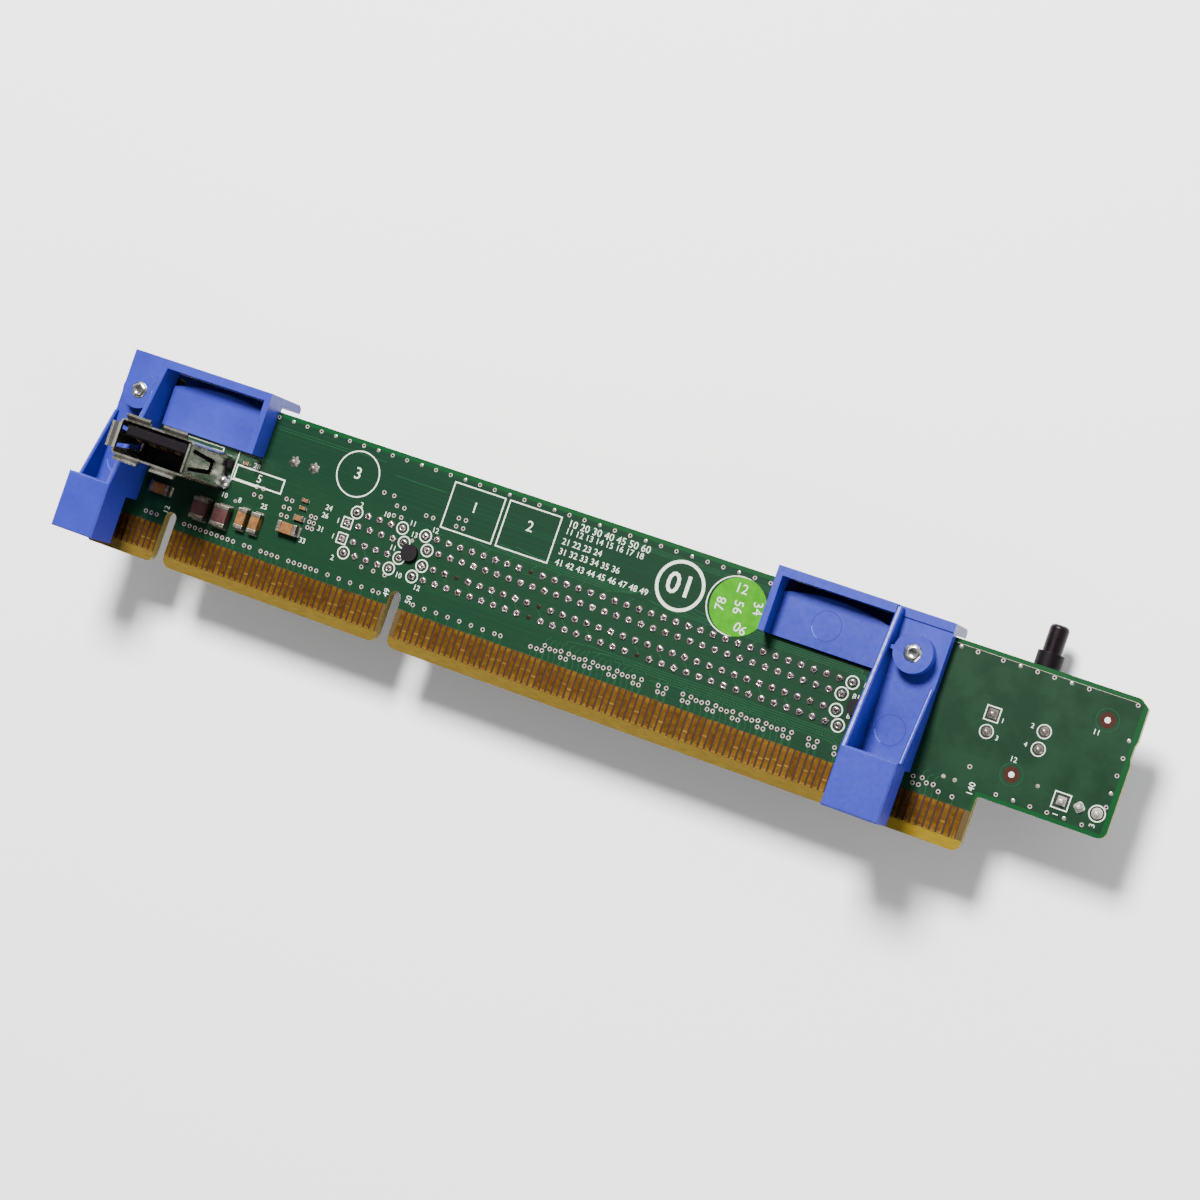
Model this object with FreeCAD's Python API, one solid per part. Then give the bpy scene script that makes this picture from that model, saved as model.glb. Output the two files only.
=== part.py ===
import FreeCAD, Part
import math
import os

# Riser card: a green board with a card edge, an x16 expansion slot soldered to its far side,
# two blue moulded guides, an upright USB receptacle and an intrusion switch.
# Millimetres. While modelling, X = 0 is the first pin of the slot, Y = 0 is the slot's centre line
# and Z = 0 is the solder side of the board. The last section moves the whole card so that the origin
# is the centre of its bounding box on the plane that it lies on.

V = FreeCAD.Vector

# Pitch of the standard contacts, in the slot and on the card edge
pitch = 1.0

# Board
board_t = 1.6
board_top = 14.15
board_bottom = -14.6
card_margin_left = 1.45
card_margin_right = 1.4
tab_len = 18.8
tab_bottom = -6.2
corner_r = 1.3
nick_top = 8.3
nick_slope = 0.8
nick_len = 3.5
nick_depth = 0.25
bevel_len = 1.65
bevel_depth = 0.45
key_w = 1.95
key_top = -6.1

# Contact fingers of the card edge: fingers of each group, and the spaces beside the two key notches
finger_start = -40.4
finger_counts = (11, 38, 91)
key_spaces = ((1.54, 1.46), (1.92, 2.23))
finger_w = 0.68
finger_t = 0.05
finger_top = -8.6

# Expansion slot
slot_w = 7.5
slot_h = 11.25
slot_wall_left = 2.9
slot_wall_right = 3.1
slot_pins = 82
pins_before_key = 11
pin_key_jump = 2.0
row_inner = 1.25
row_outer = 3.25
channel_w = 1.75
channel_depth = 8.5
key_rib_w = 1.9
channel_end_gap = 1.25
groove_y = 2.0
groove_end_wall = 0.15
key_bridge_over = 0.2
slot_lip = 0.8
slot_recess = 1.0
skirt_t = 0.25
peg_r = 1.3
peg_stand = 0.7
peg2_x = 84.7
slip = 0.05
contact_t = 0.2
contact_w = 0.45
joint_r = 0.56
joint_h = 0.62

# Blue guides: heights above the solder side
guide_plate_z = 2.3
guide_floor_z = 0.9
guide_floor_t = 0.6
guide_rim_z = 4.2
guide_plate_lip = 0.25
guide_foot_z = 9.9
guide_foot_under = 3.5
guide_boss_z = 4.8
guide_boss_r = 2.9
guide_rib_low = 2.9
guide_rib_high = 7.1
hood_t = 1.35
hood_back = 6.9
grip_slot_below = 0.4
grip_slot_end = 0.6
rib_t = 0.8
rib_draft = 0.55
side_rib_t = 0.6
tray_wall = 1.0
foot_wall = 1.2
foot_step_y = -6.2
leg_y = -4.9
foot_y = -13.9
hood_y = 16.3
tray_y = 6.5
side_rib_y = 6.3
boss_y = 10.3
tray_arc_drop = 1.25
tray_arc_y = 14.05

# Left guide, right guide: width of the leg and length of the tray, both from the tray-side rib,
# the boss's distance from the leg's outer face, and the offset along Y
left_leg = 7.4
left_tray = 18.6
left_boss = 4.2
left_dy = 0.0
left_overhang = 1.15
left_inset = 1.05
left_return_short = 3.2
right_leg = 8.55
right_tray = 18.35
right_boss = 4.15
right_dy = -0.42
right_gap = 0.4
right_inset = 0.0

# Screws that hold the guides
screw_r = 1.3
screw_head_r = 2.4
screw_head_h = 1.8
screw_recess_w = 0.6
screw_recess_len = 2.5
screw_recess_depth = 0.9
screw_hole_r = 1.5
thread_gap = 0.02

# USB receptacle
usb_gap = 0.25
usb_y = 2.55
usb_w = 13.1
usb_d = 5.7
usb_h = 14.0
usb_wall = 0.3
usb_r = 0.6
usb_tongue_side = 1.0
usb_contact_w = 1.0
usb_contact_offsets = (-3.5, -1.0, 1.0, 3.5)
usb_tongue_t = 1.84
usb_tongue_h = 12.6
usb_base_h = 2.5
usb_lip_len = 4.25
usb_lip_out = 0.85
usb_lip_h = 0.9
usb_lip_gap = 2.4
usb_side_lip_len = 4.0
usb_rear_stop_len = 4.6
usb_lug_w = 1.3
usb_lug_inset = 0.75
usb_lug_out = 0.75
usb_lug_h = 1.2
usb_bead_r = 1.35
usb_bead_h = 1.9
usb_leg_from_edge = 1.4
usb_leg_w = 1.8
usb_leg_down = 1.2

# Chip capacitors: centre, length, width, height, True where the length runs along X
bulk_chips = ((-24.05, -4.1, 3.5, 2.5, 1.7, False), (-20.25, -4.15, 3.5, 2.5, 1.7, False))
tan_chips = (
    (-16.85, -3.5, 3.3, 1.5, 1.3, False),
    (-14.45, -3.5, 3.3, 1.5, 1.3, False),
    (-8.85, -2.6, 3.4, 1.7, 1.4, True),
    (-31.9, -3.2, 3.4, 1.7, 1.3, True),
)
small_chips = (
    (-7.85, -0.5, 1.6, 0.85, 0.6, True),
    (-7.8, 1.15, 1.1, 0.5, 0.4, True),
    (-7.8, 2.4, 1.1, 0.55, 0.4, True),
    (-19.4, 4.85, 1.0, 0.5, 0.4, True),
)
cap_share = 0.2

# Round label
label_x = 63.2
label_y = 8.25
label_r = 4.35
label_t = 0.1

# Intrusion switch
switch_from_tab = 2.25
switch_w = 10.8
switch_y = 1.0
switch_len = 12.0
switch_h = 10.2
plunger_drop = 5.8
bushing_r = 2.0
bushing_len = 3.5
plunger_r = 1.45
plunger_out = 4.2
plunger_gap = 0.05
travel = 2.6
tip_round = 0.6
cavity_wall = 0.9
cavity_h = 6.0
flange_r = 2.8
flange_t = 1.15
pilot_r = 1.0
pilot_len = 1.5
bridge_t = 0.3
spring_r = 1.35
spring_wire_r = 0.18
spring_turns = 5
spring_runs = 8
terminal_w = 0.6
terminal_dx = 3.85
terminal_ys = (5.5, 2.85)
terminal_joint_r = 0.82
terminal_joint_h = 0.7

# Three-pin header
header_from_end = 4.75
header_y = -2.93
header_pitch = 2.6
header_pins_n = 3
header_base_h = 2.5
header_base_w = 2.5
header_pin_w = 0.64
header_pin_len = 6.0
header_joint_r = 0.95
header_joint_h = 0.85

# Reservoir capacitor
can_x = -10.0
can_y = 7.55
can_r = 4.0
can_h = 10.8
can_stand = 0.35
can_seal_r = 3.3
can_seal_depth = 1.4
can_lead_pitch = 3.5
can_lead_w = 0.5
can_joint_r = 0.85
can_joint_h = 0.45

back = -board_t
lead_stand = 0.5
nodes = {}


# Helpers

def box(x0, x1, y0, y1, z0, z1):
    return Part.makeBox(x1 - x0, y1 - y0, z1 - z0, V(x0, y0, z0))


def rod(x, y, z0, z1, r):
    return Part.makeCylinder(r, z1 - z0, V(x, y, z0))


def rod_y(x, z, y0, y1, r):
    return Part.makeCylinder(r, y1 - y0, V(x, y0, z), V(0, 1, 0))


def rounded_wire(corners, z):
    """Closed outline in a plane of constant Z; each corner is (x, y, radius)."""
    count = len(corners)
    starts = []
    arcs = []
    ends = []
    for i, (x, y, r) in enumerate(corners):
        p = V(x, y, z)
        before = corners[i - 1]
        after = corners[(i + 1) % count]
        a = V(before[0], before[1], z) - p
        b = V(after[0], after[1], z) - p
        a.normalize()
        b.normalize()
        if r == 0:
            starts.append(p)
            ends.append(p)
            arcs.append(None)
            continue
        half = a.getAngle(b) / 2
        reach = r / math.tan(half)
        middle = (a + b).normalize()
        starts.append(p + a * reach)
        ends.append(p + b * reach)
        arcs.append(p + middle * (r / math.sin(half) - r))
    edges = []
    for i in range(count):
        if arcs[i] is not None:
            edges.append(Part.Arc(starts[i], arcs[i], ends[i]).toShape())
        edges.append(Part.LineSegment(ends[i], starts[(i + 1) % count]).toShape())
    return Part.Wire(edges)


def plate(corners, z0, z1):
    return Part.Face(rounded_wire(corners, z0)).extrude(V(0, 0, z1 - z0))


def section_x(points, x0, x1):
    """Solid with the outline points (y, z), running along X."""
    outline = [V(x0, y, z) for y, z in points]
    outline.append(outline[0])
    return Part.Face(Part.makePolygon(outline)).extrude(V(x1 - x0, 0, 0))


def section_y(points, y0, run):
    """Solid with the outline points (x, z) at y0, running along the vector run."""
    outline = [V(x, y0, z) for x, z in points]
    outline.append(outline[0])
    return Part.Face(Part.makePolygon(outline)).extrude(run)


def fuse(shapes):
    solid = shapes[0].multiFuse(shapes[1:]) if len(shapes) > 1 else shapes[0]
    return solid.removeSplitter()


def edges_where(shape, test):
    return [e for e in shape.Edges if test(e.BoundBox)]


def group(shapes):
    return Part.makeCompound(shapes)


def faceted(rings):
    """Solid with flat facets between closed rings of points; the two end rings are flat."""
    faces = []
    for low, high in zip(rings, rings[1:]):
        for i in range(len(low)):
            j = (i + 1) % len(low)
            a, b, c, d = low[i], low[j], high[j], high[i]
            flat = abs((b - a).cross(d - a).dot(c - a)) < 1e-9
            for loop in ([[a, b, c, d]] if flat else [[a, b, c], [a, c, d]]):
                faces.append(Part.Face(Part.makePolygon(loop + loop[:1])))
    for ring in (rings[0], rings[-1]):
        faces.append(Part.Face(Part.makePolygon(ring + ring[:1])))
    solid = Part.Solid(Part.Shell(faces))
    if solid.Volume < 0:
        solid.reverse()
    return solid


# Positions that several pieces share

def pin_x(n):
    """X of slot pin n, counted from 1; the key leaves out part of the pitch."""
    jump = pin_key_jump if n > pins_before_key else 0.0
    return (n - 1) * pitch + jump


def card_layout():
    """X of every finger, and of the centres of the two key notches."""
    fingers = []
    keys = []
    x = finger_start
    for count, spaces in zip(finger_counts, key_spaces + (None,)):
        fingers += [x + i * pitch for i in range(count)]
        if spaces:
            keys.append(fingers[-1] + spaces[0])
            x = keys[-1] + spaces[1]
    return fingers, keys


finger_xs, key_centres = card_layout()
board_left = finger_xs[0] - card_margin_left
card_edge_right = finger_xs[-1] + card_margin_right
tab_right = card_edge_right + tab_len
switch_x = card_edge_right + switch_from_tab
header_x = tab_right - header_from_end
key_x = (pin_x(pins_before_key) + pin_x(pins_before_key + 1)) / 2
peg_spots = ((key_x, 0.0), (peg2_x, 0.0))
slot_start = pin_x(1) - slot_wall_left
slot_end = pin_x(slot_pins) + slot_wall_right
left_outer = board_left - left_overhang
left_rib = left_outer + left_leg
right_rib = slot_end + right_gap
right_outer = right_rib + right_leg
left_guide = {"outer": left_outer, "rib": left_rib, "tray": left_rib + left_tray,
              "boss": left_outer + left_boss, "dy": left_dy, "inset": left_inset,
              "return": (left_outer, left_rib + left_tray - left_return_short)}
right_guide = {"outer": right_outer, "rib": right_rib, "tray": right_rib - right_tray,
               "boss": right_outer - right_boss, "dy": right_dy, "inset": right_inset,
               "return": (right_rib - right_tray, right_rib)}
slot_mouth = back - slot_h
plunger_z = back - plunger_drop
switch_front = switch_y + switch_len
header_xs = [header_x + (i - (header_pins_n - 1) / 2) * header_pitch for i in range(header_pins_n)]
can_xs = (can_x - can_lead_pitch / 2, can_x + can_lead_pitch / 2)
terminal_spots = [(switch_x + s * terminal_dx, y) for y in terminal_ys for s in (-1, 1)]
usb_left = left_rib + usb_gap
usb_right = usb_left + usb_w
usb_x = (usb_left + usb_right) / 2
usb_low = usb_y - usb_d / 2
usb_high = usb_y + usb_d / 2
usb_leg_y = usb_low + usb_leg_from_edge


def screw_spot(guide):
    return guide["boss"], boss_y + guide["dy"]


def tray_arc_low(guide):
    """Y where the arched edge of the thumb tray's floor begins at both ends."""
    return tray_arc_y + guide["dy"] - tray_arc_drop


def grip_slot_low(guide):
    """Y of the board's slot behind the arched edge, and of the hood's returned flange below it."""
    return tray_arc_low(guide) - grip_slot_below


# Board

def circuit_board():
    b = board_bottom
    corners = [
        (board_left, board_top, 0.5),
        (tab_right - 1.55, board_top, 0.5),
        (tab_right - 0.1, board_top - 1.05, 0.5),
        (tab_right - 0.05, nick_top, 0),
        (tab_right - nick_depth, nick_top - nick_slope, 0),
        (tab_right - nick_depth, nick_top - nick_len + nick_slope, 0),
        (tab_right, nick_top - nick_len, 0),
        (tab_right, tab_bottom, corner_r),
        (card_edge_right, tab_bottom, 0.5),
        (card_edge_right, b, corner_r),
    ]
    for centre in reversed(key_centres):
        right = centre + key_w / 2
        left = centre - key_w / 2
        turn = key_w / 2 - 0.01
        corners += [(right, b, corner_r), (right, key_top, turn), (left, key_top, turn), (left, b, corner_r)]
    corners.append((board_left, b, 0.5))
    board = plate(corners, back, 0)
    ends = (board_left - 1, card_edge_right + 1)
    slope_top = b + bevel_len
    front_bevel = [(b - 0.1, -bevel_depth), (b, -bevel_depth), (slope_top, 0), (slope_top, 1), (b - 0.1, 1)]
    rear_bevel = [(y, back - z) for y, z in front_bevel]
    cuts = [section_x(front_bevel, *ends), section_x(rear_bevel, *ends)]
    for x, y in peg_spots:
        cuts.append(rod(x, y, back - 1, 1, peg_r + slip))
    for guide in (left_guide, right_guide):
        x, y = screw_spot(guide)
        cuts.append(rod(x, y, back - 1, 1, screw_hole_r))
        x0, x1 = sorted((guide["tray"], guide["rib"]))
        low = grip_slot_low(guide)
        cuts.append(box(x0 + grip_slot_end, x1 - grip_slot_end, low, board_top + 1, back - 1, 1))
    for x, y in terminal_spots:
        cuts.append(square_pin(x, y, back - 1, 1, terminal_w + 2 * slip))
    for x in header_xs:
        cuts.append(square_pin(x, header_y, back - 1, 1, header_pin_w + 2 * slip))
    for x in can_xs:
        cuts.append(square_pin(x, can_y, back - 1, 1, can_lead_w + 2 * slip))
    for x0, x1 in usb_leg_spans():
        y0 = usb_leg_y - usb_leg_w / 2
        cuts.append(box(x0 - slip, x1 + slip, y0 - slip, y0 + usb_leg_w + slip, back - 1, 1))
    return board.cut(cuts)


def square_pin(x, y, z0, z1, w):
    return box(x - w / 2, x + w / 2, y - w / 2, y + w / 2, z0, z1)


def edge_contacts(z0, z1):
    low = board_bottom + bevel_len
    half = finger_w / 2
    return group([box(x - half, x + half, low, finger_top, z0, z1) for x in finger_xs])


# Expansion slot

def slot_housing():
    half = slot_w / 2
    top = back - slot_recess
    body = box(slot_start, slot_end, -half, half, slot_mouth, back)
    recess = box(slot_start + 2, slot_end - 2, -half + skirt_t, half - skirt_t, top, back + 1)
    key_left = key_x - key_rib_w / 2
    key_right = key_x + key_rib_w / 2
    first = pin_x(1) - channel_end_gap
    last = pin_x(slot_pins) + channel_end_gap
    w = channel_w / 2
    lead = 0.45
    cuts = [recess]
    for x0, x1 in ((first, key_left), (key_right, last)):
        cuts.append(box(x0, x1, -w, w, slot_mouth - 1, slot_mouth + channel_depth))
        mouth = [
            (-w - lead - 0.01, slot_mouth - 0.01),
            (w + lead + 0.01, slot_mouth - 0.01),
            (w, slot_mouth + lead),
            (-w, slot_mouth + lead),
        ]
        cuts.append(section_x(mouth, x0, x1))
        for side in (-1, 1):
            y0, y1 = sorted((side * (w - 0.01), side * groove_y))
            left = x0 + groove_end_wall
            right = x1 - groove_end_wall
            cuts.append(box(left, right, y0, y1, slot_mouth + slot_lip, top + 0.01))
    body = body.cut(cuts)
    pegs = [rod(x, y, back - 1.2, peg_stand, peg_r) for x, y in peg_spots]
    over = key_bridge_over
    bridge = box(key_left - over, key_right + over, -half + 0.1, half - 0.1, top - 0.1, back)
    return fuse([body, bridge] + pegs)


def slot_contacts():
    """Spring blades that lean into the channel from both sides; the outer rows bend inwards first."""
    low = slot_mouth + slot_lip + 0.25
    reach = channel_w / 2 - 0.15
    foot = contact_t / 2
    bend_y = groove_y - 0.45
    bend_z = back - slot_recess
    inner = [(row_inner - foot, back), (row_inner + foot, back), (reach + contact_t, low), (reach, low)]
    outer = [
        (row_outer - foot, back),
        (row_outer + foot, back),
        (bend_y + foot, bend_z - foot),
        (reach + contact_t, low),
        (reach, low),
        (bend_y - foot, bend_z),
    ]
    shapes = []
    for n in range(1, slot_pins + 1):
        x0 = pin_x(n) - contact_w / 2
        for side in (-1, 1):
            outline = [(side * y, z) for y, z in (inner if n % 2 else outer)]
            shapes.append(section_x(outline, x0, x0 + contact_w))
    return group(shapes)


def pointed_peak(x, y, r, h, sides=5):
    """Pointed solder joint with flat facets on the solder side."""
    turns = [2 * math.pi * i / sides for i in range(sides)]
    ring = [V(x + r * math.cos(a), y + r * math.sin(a), 0) for a in turns]
    tip = V(x, y, h)
    faces = [Part.Face(Part.makePolygon(ring + ring[:1]))]
    for a, b in zip(ring, ring[1:] + ring[:1]):
        faces.append(Part.Face(Part.makePolygon([a, b, tip, a])))
    solid = Part.Solid(Part.Shell(faces))
    if solid.Volume < 0:
        solid.reverse()
    return solid


def solder_peak(x, y, z, up, r0, r1, h, sides=8):
    """Small faceted solder fillet standing on z."""
    rings = []
    for radius, level in ((r0, z), (r1, z + up * h)):
        turns = [2 * math.pi * (i + 0.5) / sides for i in range(sides)]
        rings.append([V(x + radius * math.cos(a), y + radius * math.sin(a), level) for a in turns])
    return faceted(rings)


def slot_solder_joints():
    shapes = []
    for n in range(1, slot_pins + 1):
        row = row_inner if n % 2 else row_outer
        for side in (-1, 1):
            shapes.append(pointed_peak(pin_x(n), side * row, joint_r, joint_h))
    return group(shapes)


# Blue guides

def rib(x_tray, way, base_t, top_t, start, end):
    """Upright rib with a rounded crest that climbs from start (y, z) to end (y, z).

    x_tray is its straight side; way is 1 where the drafted side lies towards +X.
    """
    y0, z0 = start
    y1, z1 = end
    soft = 0.22
    deep = guide_foot_z
    points = [
        (x_tray, z0 - deep),
        (x_tray, z0 - soft),
        (x_tray + way * soft, z0),
        (x_tray + way * (top_t - soft), z0),
        (x_tray + way * top_t, z0 - soft),
        (x_tray + way * base_t, z0 - deep),
    ]
    run = V(0, y1 - y0, z1 - z0)
    solid = section_y(points, y0, run)
    low = min(y0, y1) - 1
    wide = base_t + top_t
    keep = box(x_tray - wide, x_tray + wide, low, max(y0, y1) + 1, 0, guide_foot_z + 1)
    return solid.common(keep)


def guide_bracket(guide):
    """Moulded guide: thumb tray, ribbed leg with boss, foot and hood over the board's top edge."""
    dy = guide["dy"]
    out = guide["outer"]
    inner = guide["rib"]
    far = guide["tray"]
    way = 1 if out > inner else -1
    top = hood_y + dy
    under_hood = top - hood_t
    leg = leg_y + dy
    foot = foot_y + dy
    step = foot_step_y
    x0, x1 = sorted((out, inner))
    t0, t1 = sorted((far, inner))
    w0, w1 = sorted((far, far + way * tray_wall))
    tray_low = tray_y + dy

    foot_block = box(x0, x1, foot, leg, guide_foot_under, guide_foot_z)
    front = edges_where(foot_block, lambda b: b.ZMin > guide_foot_z - 0.01)
    foot_block = foot_block.makeChamfer(0.25, front)
    foot_core = box(x0 + foot_wall, x1 - foot_wall, foot + foot_wall, step - foot_wall,
                    guide_foot_under - 1, guide_foot_z - foot_wall)
    foot_block = foot_block.cut(foot_core)
    pieces = [
        foot_block,
        box(x0, x1, step, leg, 0, guide_foot_under + 1),
        box(x0, x1, leg, under_hood, 0, guide_plate_z),
        box(min(x0, t0), max(x1, t1), under_hood, top, -hood_back, guide_plate_z + guide_plate_lip),
        box(t0, t1, under_hood, top, 0, guide_rim_z),
        box(*guide["return"], grip_slot_low(guide), top, -hood_back, hood_t - hood_back),
        box(w0, w1, tray_low, top - 0.2, 0, guide_rim_z),
        rib(inner, way, rib_t + rib_draft, rib_t, (leg - 0.5, guide_foot_z), (top - 0.3, guide_rim_z)),
        rib(out, -way, side_rib_t + 0.1, side_rib_t, (leg - 0.2, guide_rib_high),
            (side_rib_y + dy, guide_rib_low)),
    ]
    arc_y = tray_arc_y + dy
    a = V(t0 + 0.3, tray_arc_low(guide), guide_floor_z - guide_floor_t)
    b = V((t0 + t1) / 2, arc_y, a.z)
    c = V(t1 - 0.3, a.y, a.z)
    d = V(c.x, tray_low, a.z)
    e = V(a.x, tray_low, a.z)
    floor_wire = Part.Wire([
        Part.Arc(a, b, c).toShape(),
        Part.LineSegment(c, d).toShape(),
        Part.LineSegment(d, e).toShape(),
        Part.LineSegment(e, a).toShape(),
    ])
    pieces.append(Part.Face(floor_wire).extrude(V(0, 0, guide_floor_t)))
    bx, by = screw_spot(guide)
    pieces.append(rod(bx, by, 0, guide_boss_z, guide_boss_r))
    web_x0, web_x1 = sorted((bx, inner + way * 0.2))
    pieces.append(box(web_x0, web_x1, by - 0.3, by + 0.3, guide_plate_z - 1, guide_boss_z - 0.4))
    if guide["return"][0] == far:
        pieces.append(box(w0, w1, grip_slot_low(guide), top, -hood_back, back - slip))
    inset = guide["inset"]
    if inset:
        pieces.append(box(x0, x1, by, top, 0, guide_rim_z))
    solid = fuse(pieces)
    hood_edge = [
        (top + 0.01, -hood_back + 0.9),
        (top + 0.01, -hood_back - 0.1),
        (top - 0.55, -hood_back - 0.1),
    ]
    cuts = [
        rod(bx, by, -1, guide_boss_z + 1, screw_r + thread_gap),
        section_x(hood_edge, min(x0, t0) - 1, max(x1, t1) + 1),
    ]
    if inset:
        edge = out - way * inset
        x0, x1 = sorted((out + way, edge))
        cuts.append(box(x0, x1, by, top + 1, -hood_back - 1, guide_rim_z + 1))
    return solid.cut(cuts)


def bracket_screw(x, y):
    """Thread-forming screw driven from the component side; its end shows in the boss."""
    head = back - screw_head_h
    shank = rod(x, y, back, guide_boss_z - 0.1, screw_r)
    solid = fuse([rod(x, y, head, back, screw_head_r), shank])
    arm = screw_recess_len / 2
    blade = screw_recess_w / 2
    low = head - 1
    high = head + screw_recess_depth
    recess = [
        box(x - arm, x + arm, y - blade, y + blade, low, high),
        box(x - blade, x + blade, y - arm, y + arm, low, high),
    ]
    return solid.cut(recess)


# USB receptacle

def usb_leg_spans():
    return ((usb_left, usb_left + usb_wall), (usb_right - usb_wall, usb_right))


def usb_outline(inset, r, z):
    return rounded_wire([
        (usb_left + inset, usb_low + inset, r),
        (usb_right - inset, usb_low + inset, r),
        (usb_right - inset, usb_high - inset, r),
        (usb_left + inset, usb_high - inset, r),
    ], z)


def usb_shell():
    outer = Part.Face(usb_outline(0, usb_r, 0)).extrude(V(0, 0, usb_h - usb_lip_h))
    inner = Part.Face(usb_outline(usb_wall, usb_r - usb_wall, -1)).extrude(V(0, 0, usb_h + 2))
    shell = outer.cut(inner)
    t = usb_wall
    o = usb_lip_out
    z0 = usb_h - usb_lip_h - 0.01
    z1 = usb_h
    parts = [shell]
    near = usb_lip_gap / 2
    spans = ((usb_x - near - usb_lip_len, usb_x - near), (usb_x + near, usb_x + near + usb_lip_len))
    for x0, x1 in spans:
        for edge, way in ((usb_high, 1), (usb_low, -1)):
            lip = [(edge - way * t, z0), (edge, z0), (edge + way * o, z1 - 0.25), (edge + way * o, z1),
                   (edge + way * (o - t), z1)]
            parts.append(section_x(lip, x0, x1))
    out = usb_left - o
    side = [(usb_left + t, z0), (usb_left, z0), (out, z1 - 0.25), (out, z1), (out + t, z1)]
    parts.append(section_y(side, usb_y - usb_side_lip_len / 2, V(0, usb_side_lip_len, 0)))
    half = usb_rear_stop_len / 2
    parts.append(box(usb_right - t, usb_right, usb_y - half, usb_y + half, z0, z1))
    for x0, x1 in usb_leg_spans():
        y0 = usb_leg_y - usb_leg_w / 2
        parts.append(box(x0, x1, y0, y0 + usb_leg_w, back - usb_leg_down, 0.01))
    shell = fuse(parts)
    cuts = []
    for x in (usb_left, usb_right):
        cuts.append(side_spring_gap(x))
    for x0, x1 in spans:
        middle = (x0 + x1) / 2
        for y in (usb_low, usb_high):
            cuts.append(face_spring_gap(middle, y))
    top = usb_high - usb_lug_inset + slip
    low = top - usb_lug_w - 2 * slip
    cuts.append(box(usb_right - 1, usb_right + 1, low, top, -0.1, usb_lug_h + slip))
    return shell.cut(cuts)


def side_spring_gap(x):
    """U-shaped gap round the tapered retaining spring in a narrow side."""
    root_z = usb_h - 1.5
    tip_z = 4.6
    gap = 0.6
    tip_gap = 1.5
    root = 1.75
    tip = 1.15
    outer = [(-root, root_z), (root, root_z), (tip, tip_z), (-tip, tip_z)]
    inner = [(-root + gap, root_z + 0.1), (root - gap, root_z + 0.1), (tip - gap, tip_z + tip_gap),
             (-tip + gap, tip_z + tip_gap)]
    big = section_x([(usb_y + y, z) for y, z in outer], x - 1, x + 1)
    small = section_x([(usb_y + y, z) for y, z in inner], x - 2, x + 2)
    return big.cut(small)


def face_spring_gap(x, y):
    """U-shaped gap round a straight retaining spring in a broad side."""
    root_z = usb_h - 1.6
    tip_z = 6.0
    half = 1.1
    gap = 0.35
    big = box(x - half, x + half, y - 1, y + 1, tip_z, root_z)
    small = box(x - half + gap, x + half - gap, y - 2, y + 2, tip_z + gap * 1.5, root_z + 1)
    return big.cut(small)


def usb_tongue_low():
    return usb_high - usb_wall - 0.35 - usb_tongue_t


def usb_contact_xs():
    return [usb_x + offset for offset in usb_contact_offsets]


def usb_insulator():
    fit = usb_wall + slip
    base = Part.Face(usb_outline(fit, usb_r - usb_wall, 0)).extrude(V(0, 0, usb_base_h))
    low = usb_tongue_low()
    half = usb_w / 2 - usb_tongue_side
    tongue = box(usb_x - half, usb_x + half, low, low + usb_tongue_t, 0.5, usb_tongue_h)
    front = edges_where(tongue, lambda b: b.ZMin > usb_tongue_h - 0.01)
    tongue = tongue.makeChamfer(0.3, front)
    lug_top = usb_high - usb_lug_inset
    lug = box(usb_right - fit - 0.5, usb_right + usb_lug_out, lug_top - usb_lug_w, lug_top, 0, usb_lug_h)
    cuts = []
    reach = usb_contact_w / 2 + slip
    for x in usb_contact_xs():
        cuts.append(box(x - reach, x + reach, low - usb_wall - slip, low, -1, usb_base_h + 1))
    for x0, x1 in usb_leg_spans():
        cuts.append(box(x0 - slip, x1 + slip, usb_low, usb_leg_y + usb_leg_w / 2 + slip, -1, 0.4))
    return fuse([base, tongue, lug]).cut(cuts)


def usb_contacts():
    low = usb_tongue_low()
    shapes = []
    for x in usb_contact_xs():
        face = low - usb_wall
        bend = [(low, 0), (low, usb_tongue_h - 1), (face, usb_tongue_h - 1.6), (face, 0)]
        shapes.append(section_x(bend, x - usb_contact_w / 2, x + usb_contact_w / 2))
    return group(shapes)


def usb_solder_joints():
    """Solder at the shell's legs: a bright bead on the solder side, cones on the other."""
    y = usb_leg_y
    r = usb_bead_r
    h = usb_bead_h
    rings = []
    for radius, level in ((r, 0), (0.96 * r, 0.37 * h), (0.67 * r, 0.79 * h), (0.3 * r, h)):
        turns = [math.pi * i / 8 for i in range(9)]
        rings.append([V(usb_right + radius * math.sin(a), y + radius * math.cos(a), level) for a in turns])
    shapes = [faceted(rings)]
    for x0, x1 in usb_leg_spans():
        half = usb_leg_w / 2
        cone = solder_peak((x0 + x1) / 2, y, back, -1, half + 0.6, half + 0.15, usb_leg_down * 0.67)
        shapes.append(cone.cut(box(x0, x1, y - half, y + half, back - 2 * usb_leg_down, back + 1)))
    return group(shapes)


# Chip capacitors

def chip(spec, ends):
    """Body of a chip capacitor, or its two end caps."""
    x, y, length, width, height, along_x = spec
    cap = length * cap_share
    pieces = []
    if ends:
        spans = ((-length / 2, -length / 2 + cap), (length / 2 - cap, length / 2))
        grow = 0.05
    else:
        spans = ((-length / 2 + cap, length / 2 - cap),)
        grow = 0.0
    half = width / 2 + grow
    for s0, s1 in spans:
        if along_x:
            solid = box(x + s0, x + s1, y - half, y + half, 0, height + grow)
        else:
            solid = box(x - half, x + half, y + s0, y + s1, 0, height + grow)
        pieces.append(solid)
    return pieces


def chips(specs, ends):
    shapes = []
    for spec in specs:
        shapes += chip(spec, ends)
    return group(shapes)


# Intrusion switch

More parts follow.
